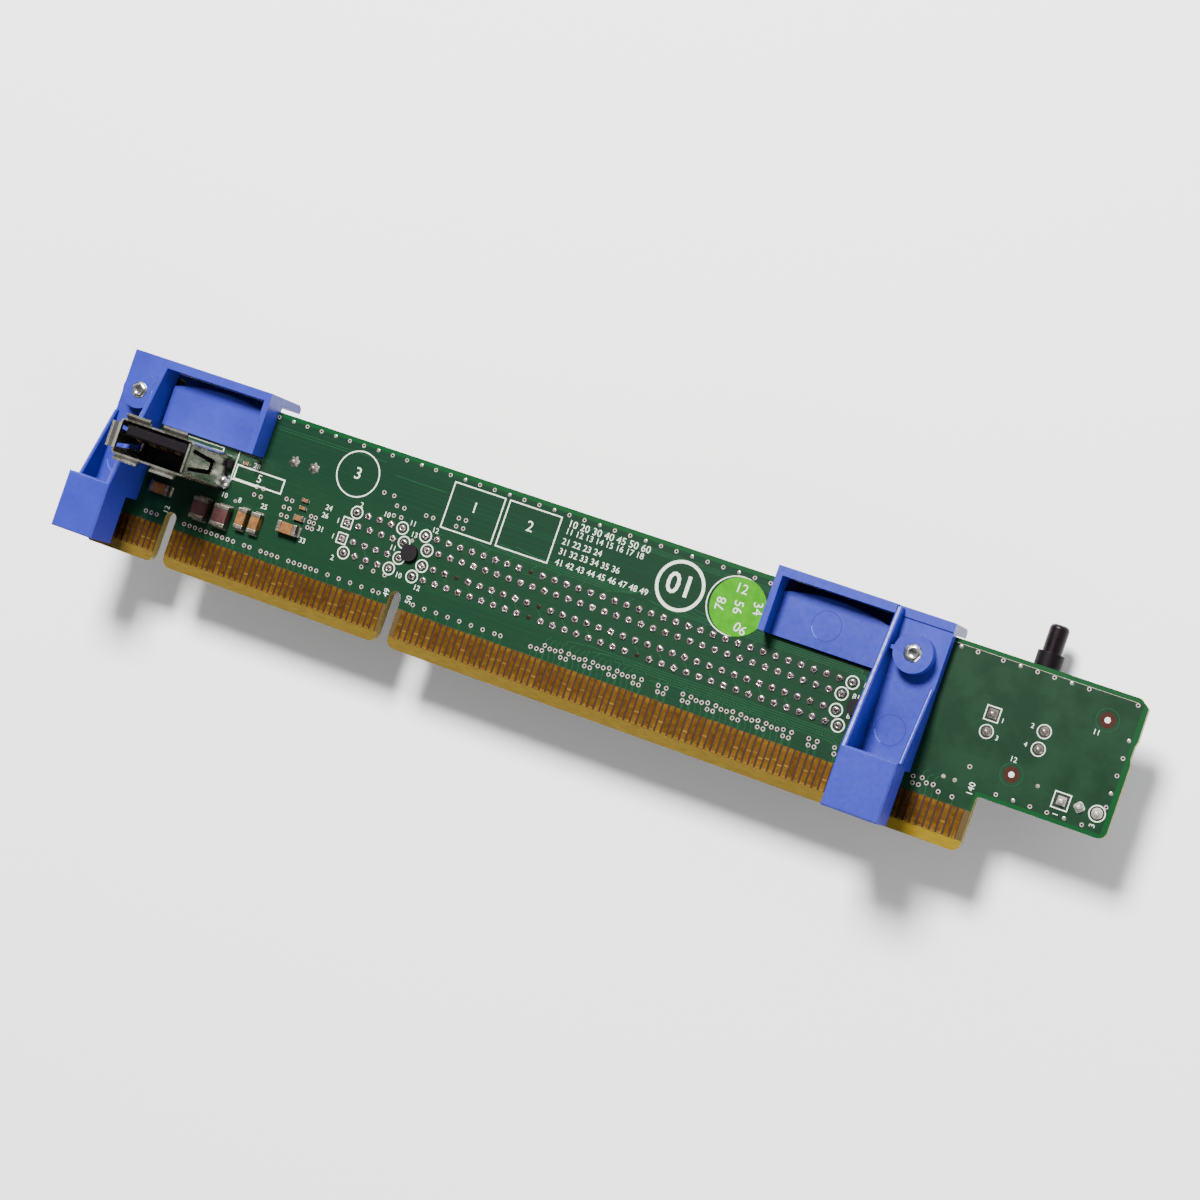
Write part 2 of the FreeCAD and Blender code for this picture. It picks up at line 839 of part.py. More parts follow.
def switch_cavity():
    half = switch_w / 2 - cavity_wall
    return (switch_x - half, switch_x + half, switch_y + cavity_wall, switch_front - cavity_wall,
            plunger_z - cavity_h / 2, plunger_z + cavity_h / 2)


def blade_reach():
    """Y of the face that the bridge meets when the plunger is pressed home."""
    return switch_front - cavity_wall - plunger_gap - flange_t - bridge_t - travel - plunger_gap


def terminal(x, y, working):
    low = plunger_z + 0.6 if not working else plunger_z - 0.3
    pin = square_pin(x, y, low, lead_stand, terminal_w)
    if not working:
        return pin
    inward = 1 if x < switch_x else -1
    x0, x1 = sorted((x - inward * terminal_w / 2, x + inward * 1.2))
    arm = box(x0, x1, y, blade_reach(), low, plunger_z + 0.3)
    return fuse([pin, arm])


def switch_body():
    half = switch_w / 2
    case = box(switch_x - half, switch_x + half, switch_y, switch_front, back - switch_h, back)
    corners = edges_where(case, lambda b: b.XLength < 0.01 and b.YLength < 0.01)
    case = case.makeChamfer(0.5, corners)
    bushing = rod_y(switch_x, plunger_z, switch_front - 0.5, switch_front + bushing_len, bushing_r)
    cuts = [box(*switch_cavity())]
    bore_r = plunger_r + plunger_gap
    cuts.append(rod_y(switch_x, plunger_z, switch_front - 3, switch_front + bushing_len + 1, bore_r))
    for x, y in terminal_spots:
        cuts.append(square_pin(x, y, plunger_z, back + 1, terminal_w + 2 * slip))
    return fuse([case, bushing]).cut(cuts)


def switch_plunger():
    """Stem with a rounded tip, a flange that stops it in the case, and a pilot for the spring."""
    y_tip = switch_front + bushing_len + plunger_out
    y_front = switch_front - cavity_wall - plunger_gap
    y_back = y_front - flange_t
    profile = [
        (0, y_back - pilot_len),
        (pilot_r, y_back - pilot_len),
        (pilot_r, y_back),
        (flange_r, y_back),
        (flange_r, y_front),
        (plunger_r, y_front),
        (plunger_r, y_tip - tip_round),
        (plunger_r - tip_round * 0.3, y_tip - tip_round * 0.3),
        (plunger_r - tip_round, y_tip),
        (0, y_tip),
    ]
    outline = [V(switch_x + r, y, plunger_z) for r, y in profile]
    outline.append(outline[0])
    return Part.Face(Part.makePolygon(outline)).revolve(V(switch_x, 0, plunger_z), V(0, 1, 0), 360)


def switch_bridge():
    y1 = switch_front - cavity_wall - plunger_gap - flange_t
    half = terminal_dx - 0.25
    bar = box(switch_x - half, switch_x + half, y1 - bridge_t, y1, plunger_z - 1.6, plunger_z + 1.6)
    return bar.cut(rod_y(switch_x, plunger_z, y1 - 1, y1 + 1, pilot_r + 0.01))


def switch_spring():
    """Return spring: square wire wound in short ruled runs round the plunger's axis."""
    y0 = switch_y + cavity_wall
    w = spring_wire_r
    end = switch_front - cavity_wall - plunger_gap - flange_t - bridge_t - w - 0.02
    start = y0 + w + 0.02
    runs = spring_turns * spring_runs
    square = ((spring_r - w, -w), (spring_r + w, -w), (spring_r + w, w), (spring_r - w, w))
    rings = []
    for i in range(runs + 1):
        a = 2 * math.pi * i / spring_runs
        y = start + (end - start) * i / runs
        rings.append([V(switch_x + r * math.cos(a), y + dy, plunger_z + r * math.sin(a)) for r, dy in square])
    return faceted(rings)


def pin_joint(x, y, r, h, hole, top_share=0.5):
    """Solder fillet round a square pin on the solder side."""
    cone = solder_peak(x, y, 0, 1, r, r * top_share, h, 8)
    return cone.cut(square_pin(x, y, -1, h + 1, hole))


# Reservoir capacitor

def reservoir_can():
    rim = back - can_stand
    bottom = rim - can_h
    can = rod(can_x, can_y, bottom, rim, can_r)
    return can.cut(rod(can_x, can_y, rim - can_seal_depth, rim + 1, can_seal_r))


def reservoir_seal():
    return rod(can_x, can_y, back - can_stand - can_seal_depth, back, can_seal_r)


def reservoir_leads():
    return group([square_pin(x, can_y, back, lead_stand, can_lead_w) for x in can_xs])


# Header

def header_base():
    half = header_pitch / 2
    shapes = []
    for x in header_xs:
        w = header_base_w / 2
        bevel = 0.35
        corners = [(x - half, header_y - w, bevel), (x + half, header_y - w, bevel),
                   (x + half, header_y + w, bevel), (x - half, header_y + w, bevel)]
        points = []
        for cx, cy, cut in corners:
            sx = 1 if cx < x else -1
            sy = 1 if cy < header_y else -1
            pair = [(cx + sx * cut, cy, 0), (cx, cy + sy * cut, 0)]
            points += pair if sx * sy < 0 else pair[::-1]
        shapes.append(plate(points, back - header_base_h, back))
    solid = fuse(shapes)
    cuts = [square_pin(x, header_y, back - header_base_h - 1, back + 1, header_pin_w) for x in header_xs]
    return solid.cut(cuts)


def header_pins():
    low = back - header_base_h - header_pin_len
    shapes = []
    for x in header_xs:
        pin = square_pin(x, header_y, low, lead_stand, header_pin_w)
        shapes.append(pin)
    return group(shapes)


# All the pieces

nodes["circuit_board"] = circuit_board()
nodes["edge_contacts_front"] = edge_contacts(0, finger_t)
nodes["edge_contacts_back"] = edge_contacts(back - finger_t, back)
nodes["slot_housing"] = slot_housing()
nodes["slot_contacts"] = slot_contacts()
nodes["slot_solder_joints"] = slot_solder_joints()
nodes["left_bracket"] = guide_bracket(left_guide)
nodes["right_bracket"] = guide_bracket(right_guide)
nodes["bracket_screws"] = group([bracket_screw(*screw_spot(g)) for g in (left_guide, right_guide)])
nodes["usb_shell"] = usb_shell()
nodes["usb_insulator"] = usb_insulator()
nodes["usb_contacts"] = usb_contacts()
nodes["usb_solder_joints"] = usb_solder_joints()
nodes["bulk_capacitors"] = chips(bulk_chips, False)
nodes["bulk_capacitor_terminals"] = chips(bulk_chips, True)
nodes["ceramic_capacitors"] = chips(tan_chips, False)
nodes["ceramic_capacitor_terminals"] = chips(tan_chips, True)
nodes["small_capacitors"] = chips(small_chips, False)
nodes["small_capacitor_terminals"] = chips(small_chips, True)
nodes["label_sticker"] = rod(label_x, label_y, 0, label_t, label_r)
nodes["switch_body"] = switch_body()
nodes["switch_plunger"] = switch_plunger()
nodes["switch_bridge"] = switch_bridge()
nodes["switch_spring"] = switch_spring()
nodes["switch_terminals"] = group([terminal(x, y, y == terminal_ys[0]) for x, y in terminal_spots])
nodes["switch_solder_joints"] = group(
    [pin_joint(x, y, terminal_joint_r, terminal_joint_h, terminal_w) for x, y in terminal_spots]
)
nodes["header_base"] = header_base()
nodes["header_pins"] = header_pins()
nodes["header_solder_joints"] = group(
    [pin_joint(x, header_y, header_joint_r, header_joint_h, header_pin_w) for x in header_xs]
)
nodes["reservoir_can"] = reservoir_can()
nodes["reservoir_seal"] = reservoir_seal()
nodes["reservoir_leads"] = reservoir_leads()
nodes["reservoir_solder_joints"] = group(
    [pin_joint(x, can_y, can_joint_r, can_joint_h, can_lead_w) for x in can_xs]
)

# Origin: centre of the bounding box, on the plane that the card lies on
whole = group(list(nodes.values())).BoundBox
shift = V(-(whole.XMin + whole.XMax) / 2, -(whole.YMin + whole.YMax) / 2, -whole.ZMin)

os.makedirs("parts", exist_ok=True)
for name, shape in nodes.items():
    shape.translate(shift)
    shape.exportStep("parts/" + name + ".step")
print("origin shift", [round(v, 4) for v in shift], "size", whole.XLength, whole.YLength, whole.ZLength)
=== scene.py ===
import bmesh
import bpy
import math
import random
from mathutils import Matrix, Vector


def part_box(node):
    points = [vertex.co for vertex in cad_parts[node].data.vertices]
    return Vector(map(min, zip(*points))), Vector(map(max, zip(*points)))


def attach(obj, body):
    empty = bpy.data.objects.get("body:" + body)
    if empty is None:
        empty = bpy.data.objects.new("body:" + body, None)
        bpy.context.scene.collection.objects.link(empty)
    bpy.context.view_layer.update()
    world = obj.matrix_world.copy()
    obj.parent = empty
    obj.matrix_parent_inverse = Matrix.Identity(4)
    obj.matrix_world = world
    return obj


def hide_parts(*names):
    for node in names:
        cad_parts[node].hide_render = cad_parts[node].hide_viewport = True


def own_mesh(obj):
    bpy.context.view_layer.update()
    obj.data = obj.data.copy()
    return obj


# Looks of a riser card. Places are given in millimetres from the slot's first pin on the solder side,
# with X along the card and Y towards its top edge, and at() turns them into the frame's metres.

MM = 0.001
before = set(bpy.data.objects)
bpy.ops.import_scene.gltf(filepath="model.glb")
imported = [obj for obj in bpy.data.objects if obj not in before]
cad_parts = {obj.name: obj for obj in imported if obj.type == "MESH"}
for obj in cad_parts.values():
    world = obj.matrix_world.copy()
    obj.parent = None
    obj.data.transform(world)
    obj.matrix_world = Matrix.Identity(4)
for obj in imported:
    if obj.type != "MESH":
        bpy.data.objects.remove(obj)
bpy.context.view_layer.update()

# The slot's first pin stands this far from the housing's end
FIRST_PIN = 2.9
housing_low, housing_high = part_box("slot_housing")
board_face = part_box("circuit_board")[1].z
ORIGIN = Vector((housing_low.x + FIRST_PIN * MM, (housing_low.y + housing_high.y) / 2, board_face))
random.seed(7)

# Outline of the board, and the width of its rim without copper
BOARD_LEFT = -41.85
BOARD_TOP = 14.15
CARD_EDGE_RIGHT = 105.15
TAB_RIGHT = 123.95
TAB_BOTTOM = -6.2
MARGIN = 0.65

# Card edge: the first finger and the number of fingers of each group, the fingers' ends, the end of the
# solder mask, and the notch between the last two groups
FINGERS = ((-40.4, 11), (-27.4, 38), (13.75, 91))
FINGER_TOP = -8.6
FINGER_LOW = -12.95
MASK_END = -8.57
KEY_NOTCH = 11.52

# Joints of the slot, in four rows that mirror each other, with a gap for the key after pin 11; then the
# places of the holes without a joint and of the dull joints
PINS = 82
KEY_AFTER = 11
KEY_JUMP = 2.0
ROWS = (1.25, 3.25)
EMPTY_HOLES = ((31, 3.25), (20, -1.25), (34, -1.25), (33, -3.25), (51, -3.25))
DULL_JOINTS = ((78, -1.25), (81, 3.25))

# Vias: radii of hole and pad in the field and at the edge, the long row, and those that solder closes
FIELD_VIA = (0.19, 0.34)
EDGE_VIA = (0.17, 0.31)
VIA_ROW = -7.25
SOLID_VIAS = ((11.15, 1.9), (99.8, -5.1), (101.5, -5.1), (-19.2, -1.2))
LONE_CAP = (112.8, -2.05)

# Joints of the switch, the header and the reservoir, and the guides' bosses
SWITCH_JOINTS = ((103.55, 5.5), (111.25, 5.5), (103.55, 2.85), (111.25, 2.85))
HEADER_JOINTS = (116.6, 119.2, 121.8)
HEADER_Y = -2.93
RESERVOIR_JOINTS = (-11.75, -8.25)
RESERVOIR_Y = 7.55
BOSSES = ((-38.8, 10.3), (90.9, 9.88))

# Levels where the receptacle's lips bend outwards and end
LIP_BEND = 13.1
LIP_TOP = 14.0

# Font size for digits of height 1, and the usual height of the small ones
SIZE_OF_DIGITS = 1.37
DIGITS = 0.85

# Thickness of printed ink, of tracks under the mask and of the dark gap round a pad
INK = 0.02
TRACK = 0.012
PAD_GAP = 0.008

# How far joints and tracks reach into the board, so that no gap shows under them
SUNK = 0.01
TRACK_SUNK = 0.004

# Edges of a node's mesh: from this angle in degrees they are rounded, in so many steps, and up to the
# second angle they are shaded smooth
SHARP = 30
ROUND_STEPS = 2
SMOOTHED = 38

# Studio in metres: floor, sky and lamps. Each shade of the sky runs along a direction, between two values
# of its cosine, from the first brightness to the second.
FLOOR_REACH = 1.5
FLOOR_DROP = 0.00005
SKY_STRENGTH = 1.35
SKY_SHADES = (((0, 0, 1), 0.45, 0.95, 1.0, 0.12), ((0.35, 0.93, 0), -0.3, 0.7, 0.28, 1.0))
LAMP_TARGET = (0, 0, 0.01)

# Camera fitted to the slot's pins in the photograph: its place in slot millimetres and its directions
CAMERA_PLACE = (171.07, 1.715, 376.85)
CAMERA_RIGHT = (0.8952, 0.3258, -0.3039)
CAMERA_FORWARD = (-0.3223, 0.0024, -0.9466)
LENS = 80.61
SENSOR = 36.0


def at(x, y, z=0.0):
    """Point of the frame for a place in slot millimetres."""
    return ORIGIN + Vector((x, y, z)) * MM


def srgb(red, green, blue):
    """Linear colour from 0 to 255 values as seen on a screen."""
    channels = []
    for value in (red, green, blue):
        c = value / 255
        channels.append(c / 12.92 if c < 0.04045 else ((c + 0.055) / 1.055) ** 2.4)
    return (*channels, 1.0)


def added(name, data):
    """New object in the scene."""
    made = bpy.data.objects.new(name, data)
    bpy.context.scene.collection.objects.link(made)
    return made


# Materials

def set_range(node, low, high, to_low, to_high):
    for key, number in (("From Min", low), ("From Max", high), ("To Min", to_low), ("To Max", to_high)):
        node.inputs[key].default_value = number


class Graph:
    """Node tree of one material, with short ways to add the nodes that the finishes share."""

    def __init__(self, name):
        self.material = bpy.data.materials.new(name)
        self.material.use_nodes = True
        self.tree = self.material.node_tree
        self.shader = self.tree.nodes["Principled BSDF"]
        self.place = None

    def node(self, kind, **settings):
        made = self.tree.nodes.new(kind)
        for key, value in settings.items():
            setattr(made, key, value)
        return made

    def link(self, source, target):
        self.tree.links.new(source, target)

    def coords(self):
        """Position in slot millimetres."""
        if self.place is None:
            source = self.node("ShaderNodeTexCoord")
            mapping = self.node("ShaderNodeMapping")
            mapping.inputs["Scale"].default_value = (1 / MM, 1 / MM, 1 / MM)
            mapping.inputs["Location"].default_value = -ORIGIN / MM
            self.link(source.outputs["Object"], mapping.inputs["Vector"])
            self.place = mapping.outputs["Vector"]
        return self.place

    def stretched(self, x, y, z):
        """Position scaled on each axis, for streaks and lanes."""
        mapping = self.node("ShaderNodeMapping")
        mapping.inputs["Scale"].default_value = (x, y, z)
        self.link(self.coords(), mapping.inputs["Vector"])
        return mapping.outputs["Vector"]

    def noise(self, scale, detail=3.0, rough=0.55, vector=None):
        made = self.node("ShaderNodeTexNoise")
        made.inputs["Scale"].default_value = scale
        made.inputs["Detail"].default_value = detail
        made.inputs["Roughness"].default_value = rough
        self.link(vector or self.coords(), made.inputs["Vector"])
        return made.outputs["Fac"]

    def axis(self, name):
        made = self.node("ShaderNodeSeparateXYZ")
        self.link(self.coords(), made.inputs[0])
        return made.outputs[name]

    def math(self, operation, a, b=0.0):
        made = self.node("ShaderNodeMath", operation=operation)
        for socket, value in zip(made.inputs, (a, b)):
            if isinstance(value, (int, float)):
                socket.default_value = value
            else:
                self.link(value, socket)
        return made.outputs[0]

    def step(self, value, low, high):
        """0 below low, 1 above high, and smooth between them; low may be above high."""
        made = self.node("ShaderNodeMapRange", interpolation_type="SMOOTHSTEP")
        turned = low > high
        set_range(made, min(low, high), max(low, high), 1.0 if turned else 0.0, 0.0 if turned else 1.0)
        self.link(value, made.inputs["Value"])
        return made.outputs["Result"]

    def ramp(self, value, low, high, to_low, to_high):
        """to_low at low, to_high at high, held beyond them."""
        made = self.node("ShaderNodeMapRange")
        set_range(made, low, high, to_low, to_high)
        self.link(value, made.inputs["Value"])
        return made.outputs["Result"]

    def mix(self, share, a, b):
        made = self.node("ShaderNodeMix", data_type="RGBA")
        for socket, value in ((made.inputs[0], share), (made.inputs[6], a), (made.inputs[7], b)):
            if isinstance(value, (tuple, float)):
                socket.default_value = value
            else:
                self.link(value, socket)
        return made.outputs[2]

    def bump(self, height, strength, distance):
        made = self.node("ShaderNodeBump")
        made.inputs["Strength"].default_value = strength
        made.inputs["Distance"].default_value = distance * MM
        self.link(height, made.inputs["Height"])
        return made.outputs["Normal"]

    def set(self, **values):
        """Values or sources for the shader's own sockets."""
        names = {"color": "Base Color", "rough": "Roughness", "metal": "Metallic", "normal": "Normal",
                 "specular": "Specular IOR Level"}
        for key, value in values.items():
            socket = self.shader.inputs[names[key]]
            if isinstance(value, (int, float, tuple)):
                socket.default_value = value
            else:
                self.link(value, socket)
        return self.material


def mottled(name, dark, light, rough, scale=1.5, grain=30.0, bump=0.15, metal=0.0, specular=0.4):
    """A finish with a soft change of colour, a fine grain and a slightly uneven gloss."""
    g = Graph(name)
    wide = g.noise(scale, 4.0)
    fine = g.noise(grain, 3.0, 0.6)
    colour = g.mix(g.ramp(wide, 0.35, 0.65, 0.0, 1.0), srgb(*dark), srgb(*light))
    gloss = g.ramp(g.noise(scale * 3, 4.0, 0.65), 0.3, 0.7, rough * 0.85, min(1.0, rough * 1.2))
    return g.set(color=colour, rough=gloss, metal=metal, specular=specular, normal=g.bump(fine, bump, 0.04))


def mask_colour(g, x, y):
    """Green of the solder mask over copper, and the fine pattern of the routing under it."""
    left = g.mix(g.noise(0.16, 4.0), srgb(8, 41, 27), srgb(16, 46, 24))
    right = g.mix(g.ramp(g.noise(0.2, 5.0), 0.4, 0.6, 0.0, 1.0), srgb(10, 38, 21), srgb(18, 46, 28))
    mask = g.mix(g.math("MULTIPLY", g.step(y, 3.0, 8.0), 0.4), left, srgb(3, 34, 21))
    mask = g.mix(g.step(x, 60.0, 100.0), mask, right)
    weave = g.noise(2.4, 5.0, 0.7, g.stretched(0.25, 1.0, 1.0))
    routed = g.step(x, 95.0, 88.0)
    dark_share = g.math("MULTIPLY", g.ramp(weave, 0.3, 0.75, 0.0, 0.4), g.ramp(routed, 0.0, 1.0, 0.4, 1.0))
    mask = g.mix(dark_share, mask, srgb(7, 31, 19))
    lanes = g.noise(1.0, 2.0, 0.5, g.stretched(0.02, 5.0, 1.0))
    lane_share = g.math("MULTIPLY", g.ramp(lanes, 0.52, 0.66, 0.0, 0.3), routed)
    return g.mix(lane_share, mask, srgb(12, 58, 34)), weave


def margin_share(g, x, y):
    """1 on the rim along the board's top, right, lower and left edges, and 0 inside it."""
    blur = 0.1
    top = g.step(y, BOARD_TOP - MARGIN - blur, BOARD_TOP - MARGIN)
    right = g.step(x, TAB_RIGHT - MARGIN - 0.25, TAB_RIGHT - MARGIN - blur)
    beyond_fingers = g.step(x, CARD_EDGE_RIGHT - 0.35, CARD_EDGE_RIGHT - 0.25)
    low = g.math("MULTIPLY", g.step(y, TAB_BOTTOM + MARGIN, TAB_BOTTOM + MARGIN - blur), beyond_fingers)
    left = g.step(x, BOARD_LEFT + MARGIN, BOARD_LEFT + MARGIN - blur)
    share = g.math("MAXIMUM", g.math("MAXIMUM", top, right), low)
    return g.math("MAXIMUM", share, left)


def bare_colour(g, x, y):
    """Bare laminate below the mask: streaked at the bevel, and dark brown between the fingers."""
    streaks = g.noise(1.0, 5.0, 0.7, g.stretched(0.6, 7.0, 1.0))
    far_end = g.step(x, 84.0, 98.0)
    dark = g.mix(far_end, srgb(78, 60, 16), srgb(104, 84, 12))
    light = g.mix(far_end, srgb(108, 90, 30), srgb(134, 112, 24))
    bare = g.mix(g.ramp(streaks, 0.3, 0.7, 0.0, 1.0), dark, light)
    between = g.mix(g.noise(0.9, 3.0), srgb(28, 10, 0), srgb(42, 17, 0))
    in_fingers = g.math("MULTIPLY", g.step(y, FINGER_TOP + 0.12, FINGER_TOP),
                        g.step(y, FINGER_LOW - 0.05, FINGER_LOW + 0.05))
    inside = None
    outer, inner = 0.55, 0.35
    for first, count in FINGERS:
        last = first + count - 1
        span = g.math("MULTIPLY", g.step(x, first - outer, first - inner),
                      g.step(x, last + outer, last + inner))
        inside = span if inside is None else g.math("MAXIMUM", inside, span)
    bare = g.mix(in_fingers, bare, srgb(62, 46, 8))
    return g.mix(g.math("MULTIPLY", in_fingers, inside), bare, between)


def side_colour(g, x, y):
    """1 on the board's upright sides, and the laminate's layers there, with painted shade in the trays'
    slots.
    """
    normal_source = g.node("ShaderNodeNewGeometry")
    parts = g.node("ShaderNodeSeparateXYZ")
    g.link(normal_source.outputs["Normal"], parts.inputs[0])
    side = g.step(g.math("ABSOLUTE", parts.outputs["Z"]), 0.6, 0.4)
    layers = g.noise(6.0, 3.0, 0.6, g.stretched(0.15, 0.15, 2.0))
    laminate = g.mix(layers, srgb(96, 84, 36), srgb(140, 126, 62))
    # Painted shade: the board's sides inside the trays' slots turn dark navy where the guides shade them
    slot_shade = g.math("MULTIPLY", g.step(y, 10.8, 11.2), g.step(y, BOARD_TOP - 0.1, BOARD_TOP - 0.3))
    slot_shade = g.math("MULTIPLY", slot_shade, g.step(x, 96.0, 95.0))
    return side, g.mix(slot_shade, laminate, srgb(10, 14, 30))


def board_material():
    """Solder mask over copper, a brighter margin without copper, bare laminate at the fingers."""
    g = Graph("solder_mask")
    x = g.axis("X")
    y = g.axis("Y")
    mask, weave = mask_colour(g, x, y)
    colour = g.mix(margin_share(g, x, y), mask, srgb(3, 57, 24))
    wave = 0.08
    wavy = g.math("ADD", y, g.ramp(g.noise(0.8, 2.0), 0.3, 0.7, -wave, wave))
    bare_share = g.step(wavy, MASK_END + wave, MASK_END - wave)
    colour = g.mix(bare_share, colour, bare_colour(g, x, y))
    # Upright sides: laminate layers, and painted shade in the trays' slots
    side, laminate = side_colour(g, x, y)
    colour = g.mix(side, colour, laminate)
    height = g.math("ADD", g.math("MULTIPLY", weave, 0.6), g.math("MULTIPLY", g.noise(9.0, 2.0), 0.25))
    gloss = g.ramp(g.math("MAXIMUM", bare_share, side), 0.0, 1.0, 0.3, 0.5)
    return g.set(color=colour, rough=gloss, normal=g.bump(height, 0.25, 0.03), specular=0.25)


def gold_material():
    """Worn gold plating: streaks along each finger, brown flanks and a brighter band at the lower end."""
    g = Graph("contact_gold")
    y = g.axis("Y")
    x = g.axis("X")
    left_shift = 0.9
    right_shift = 0.75
    # With these shifts each finger stands in the middle of its own cell of 1 mm
    shift = g.ramp(x, KEY_NOTCH - 0.01, KEY_NOTCH + 0.01, left_shift, right_shift)
    along = g.math("ADD", x, shift)
    cell = g.math("FLOOR", along)
    off_middle = g.math("ABSOLUTE", g.math("SUBTRACT", g.math("SUBTRACT", along, cell), 0.5))
    each = g.node("ShaderNodeTexWhiteNoise", noise_dimensions="1D")
    g.link(cell, each.inputs["W"])
    own = each.outputs["Value"]
    streaks = g.noise(1.0, 5.0, 0.75, g.stretched(5.5, 0.7, 1.0))
    blotches = g.noise(1.1, 4.0, 0.65)
    colour = g.mix(g.ramp(blotches, 0.35, 0.65, 0.0, 1.0), srgb(84, 52, 9), srgb(142, 104, 28))
    colour = g.mix(g.ramp(own, 0.0, 1.0, 0.0, 0.45), colour, srgb(170, 126, 40))
    colour = g.mix(g.ramp(streaks, 0.42, 0.64, 0.0, 0.9), colour, srgb(58, 30, 6))
    worn = g.math("MULTIPLY", g.step(y, FINGER_TOP - 0.4, FINGER_TOP - 0.9),
                  g.step(y, FINGER_LOW + 0.7, FINGER_LOW + 1.6))
    colour = g.mix(g.math("MULTIPLY", worn, 0.4), colour, srgb(80, 46, 12))
    mark_y = -9.9
    wander = g.math("MULTIPLY", own, 1.6)
    from_mark = g.math("ABSOLUTE", g.math("SUBTRACT", g.math("ADD", y, wander), mark_y))
    mark_share = g.math("MULTIPLY", g.step(from_mark, 0.14, 0.05), g.ramp(own, 0.3, 0.9, 0.0, 0.4))
    colour = g.mix(mark_share, colour, srgb(206, 164, 70))
    colour = g.mix(g.math("MULTIPLY", g.step(off_middle, 0.31, 0.37), 0.85), colour, srgb(36, 15, 4))
    tips = g.step(y, FINGER_LOW + 0.4, FINGER_LOW + 0.12)
    tip_share = g.math("MULTIPLY", tips, g.ramp(streaks, 0.35, 0.6, 0.45, 0.08))
    colour = g.mix(tip_share, colour, srgb(200, 156, 62))
    rough = g.ramp(streaks, 0.3, 0.7, 0.26, 0.46)
    return g.set(color=colour, rough=rough, metal=0.85, normal=g.bump(streaks, 0.4, 0.02))


def blue_material():
    """Moulded blue plastic with a fine spark-eroded grain and faint flow marks."""
    g = Graph("guide_plastic")
    flow = g.noise(0.12, 3.0, 0.5)
    grain = g.noise(22.0, 3.0, 0.6)
    colour = g.mix(g.ramp(flow, 0.35, 0.65, 0.0, 1.0), srgb(31, 37, 132), srgb(37, 44, 144))
    colour = g.mix(g.ramp(grain, 0.45, 0.8, 0.0, 0.12), colour, srgb(84, 100, 190))
    rough = g.ramp(g.noise(1.6, 4.0), 0.3, 0.7, 0.32, 0.46)
    return g.set(color=colour, rough=rough, normal=g.bump(grain, 0.2, 0.02), specular=0.3)


def sheet_material():
    """Tin-plated sheet with rolling lines and dull patches, with a painted dark reflection on the bent lips.
    """
    g = Graph("shell_steel")
    lines = g.noise(1.0, 3.0, 0.6, g.stretched(2.0, 2.0, 0.3))
    patches = g.noise(0.35, 3.0, 0.5)
    colour = g.mix(g.ramp(patches, 0.35, 0.65, 0.0, 1.0), srgb(168, 166, 156), srgb(204, 202, 194))
    z = g.axis("Z")
    # Painted reflection: the bent lips are darkened where they would mirror the dark surroundings
    lip_dark_reflection = g.math("MULTIPLY", g.step(z, LIP_BEND + 0.2, LIP_BEND + 0.4),
                 g.step(z, LIP_TOP - 0.05, LIP_TOP - 0.1))
    colour = g.mix(g.math("MULTIPLY", lip_dark_reflection, 0.8), colour, srgb(62, 54, 50))
    rough = g.ramp(lines, 0.3, 0.7, 0.24, 0.34)
    return g.set(color=colour, rough=rough, metal=1.0, normal=g.bump(lines, 0.02, 0.005))


def solder_material(name, dark, light, rough, metal, bump=0.25):
    """Solder or plain metal with soft pools of light and dark."""
    g = Graph(name)
    pools = g.noise(2.6, 4.0, 0.6)
    colour = g.mix(g.ramp(pools, 0.35, 0.65, 0.0, 1.0), srgb(*dark), srgb(*light))
    gloss = g.ramp(g.noise(5.0, 3.0), 0.3, 0.7, rough * 0.7, rough * 1.3)
    return g.set(color=colour, rough=gloss, metal=metal, normal=g.bump(pools, bump, 0.04))


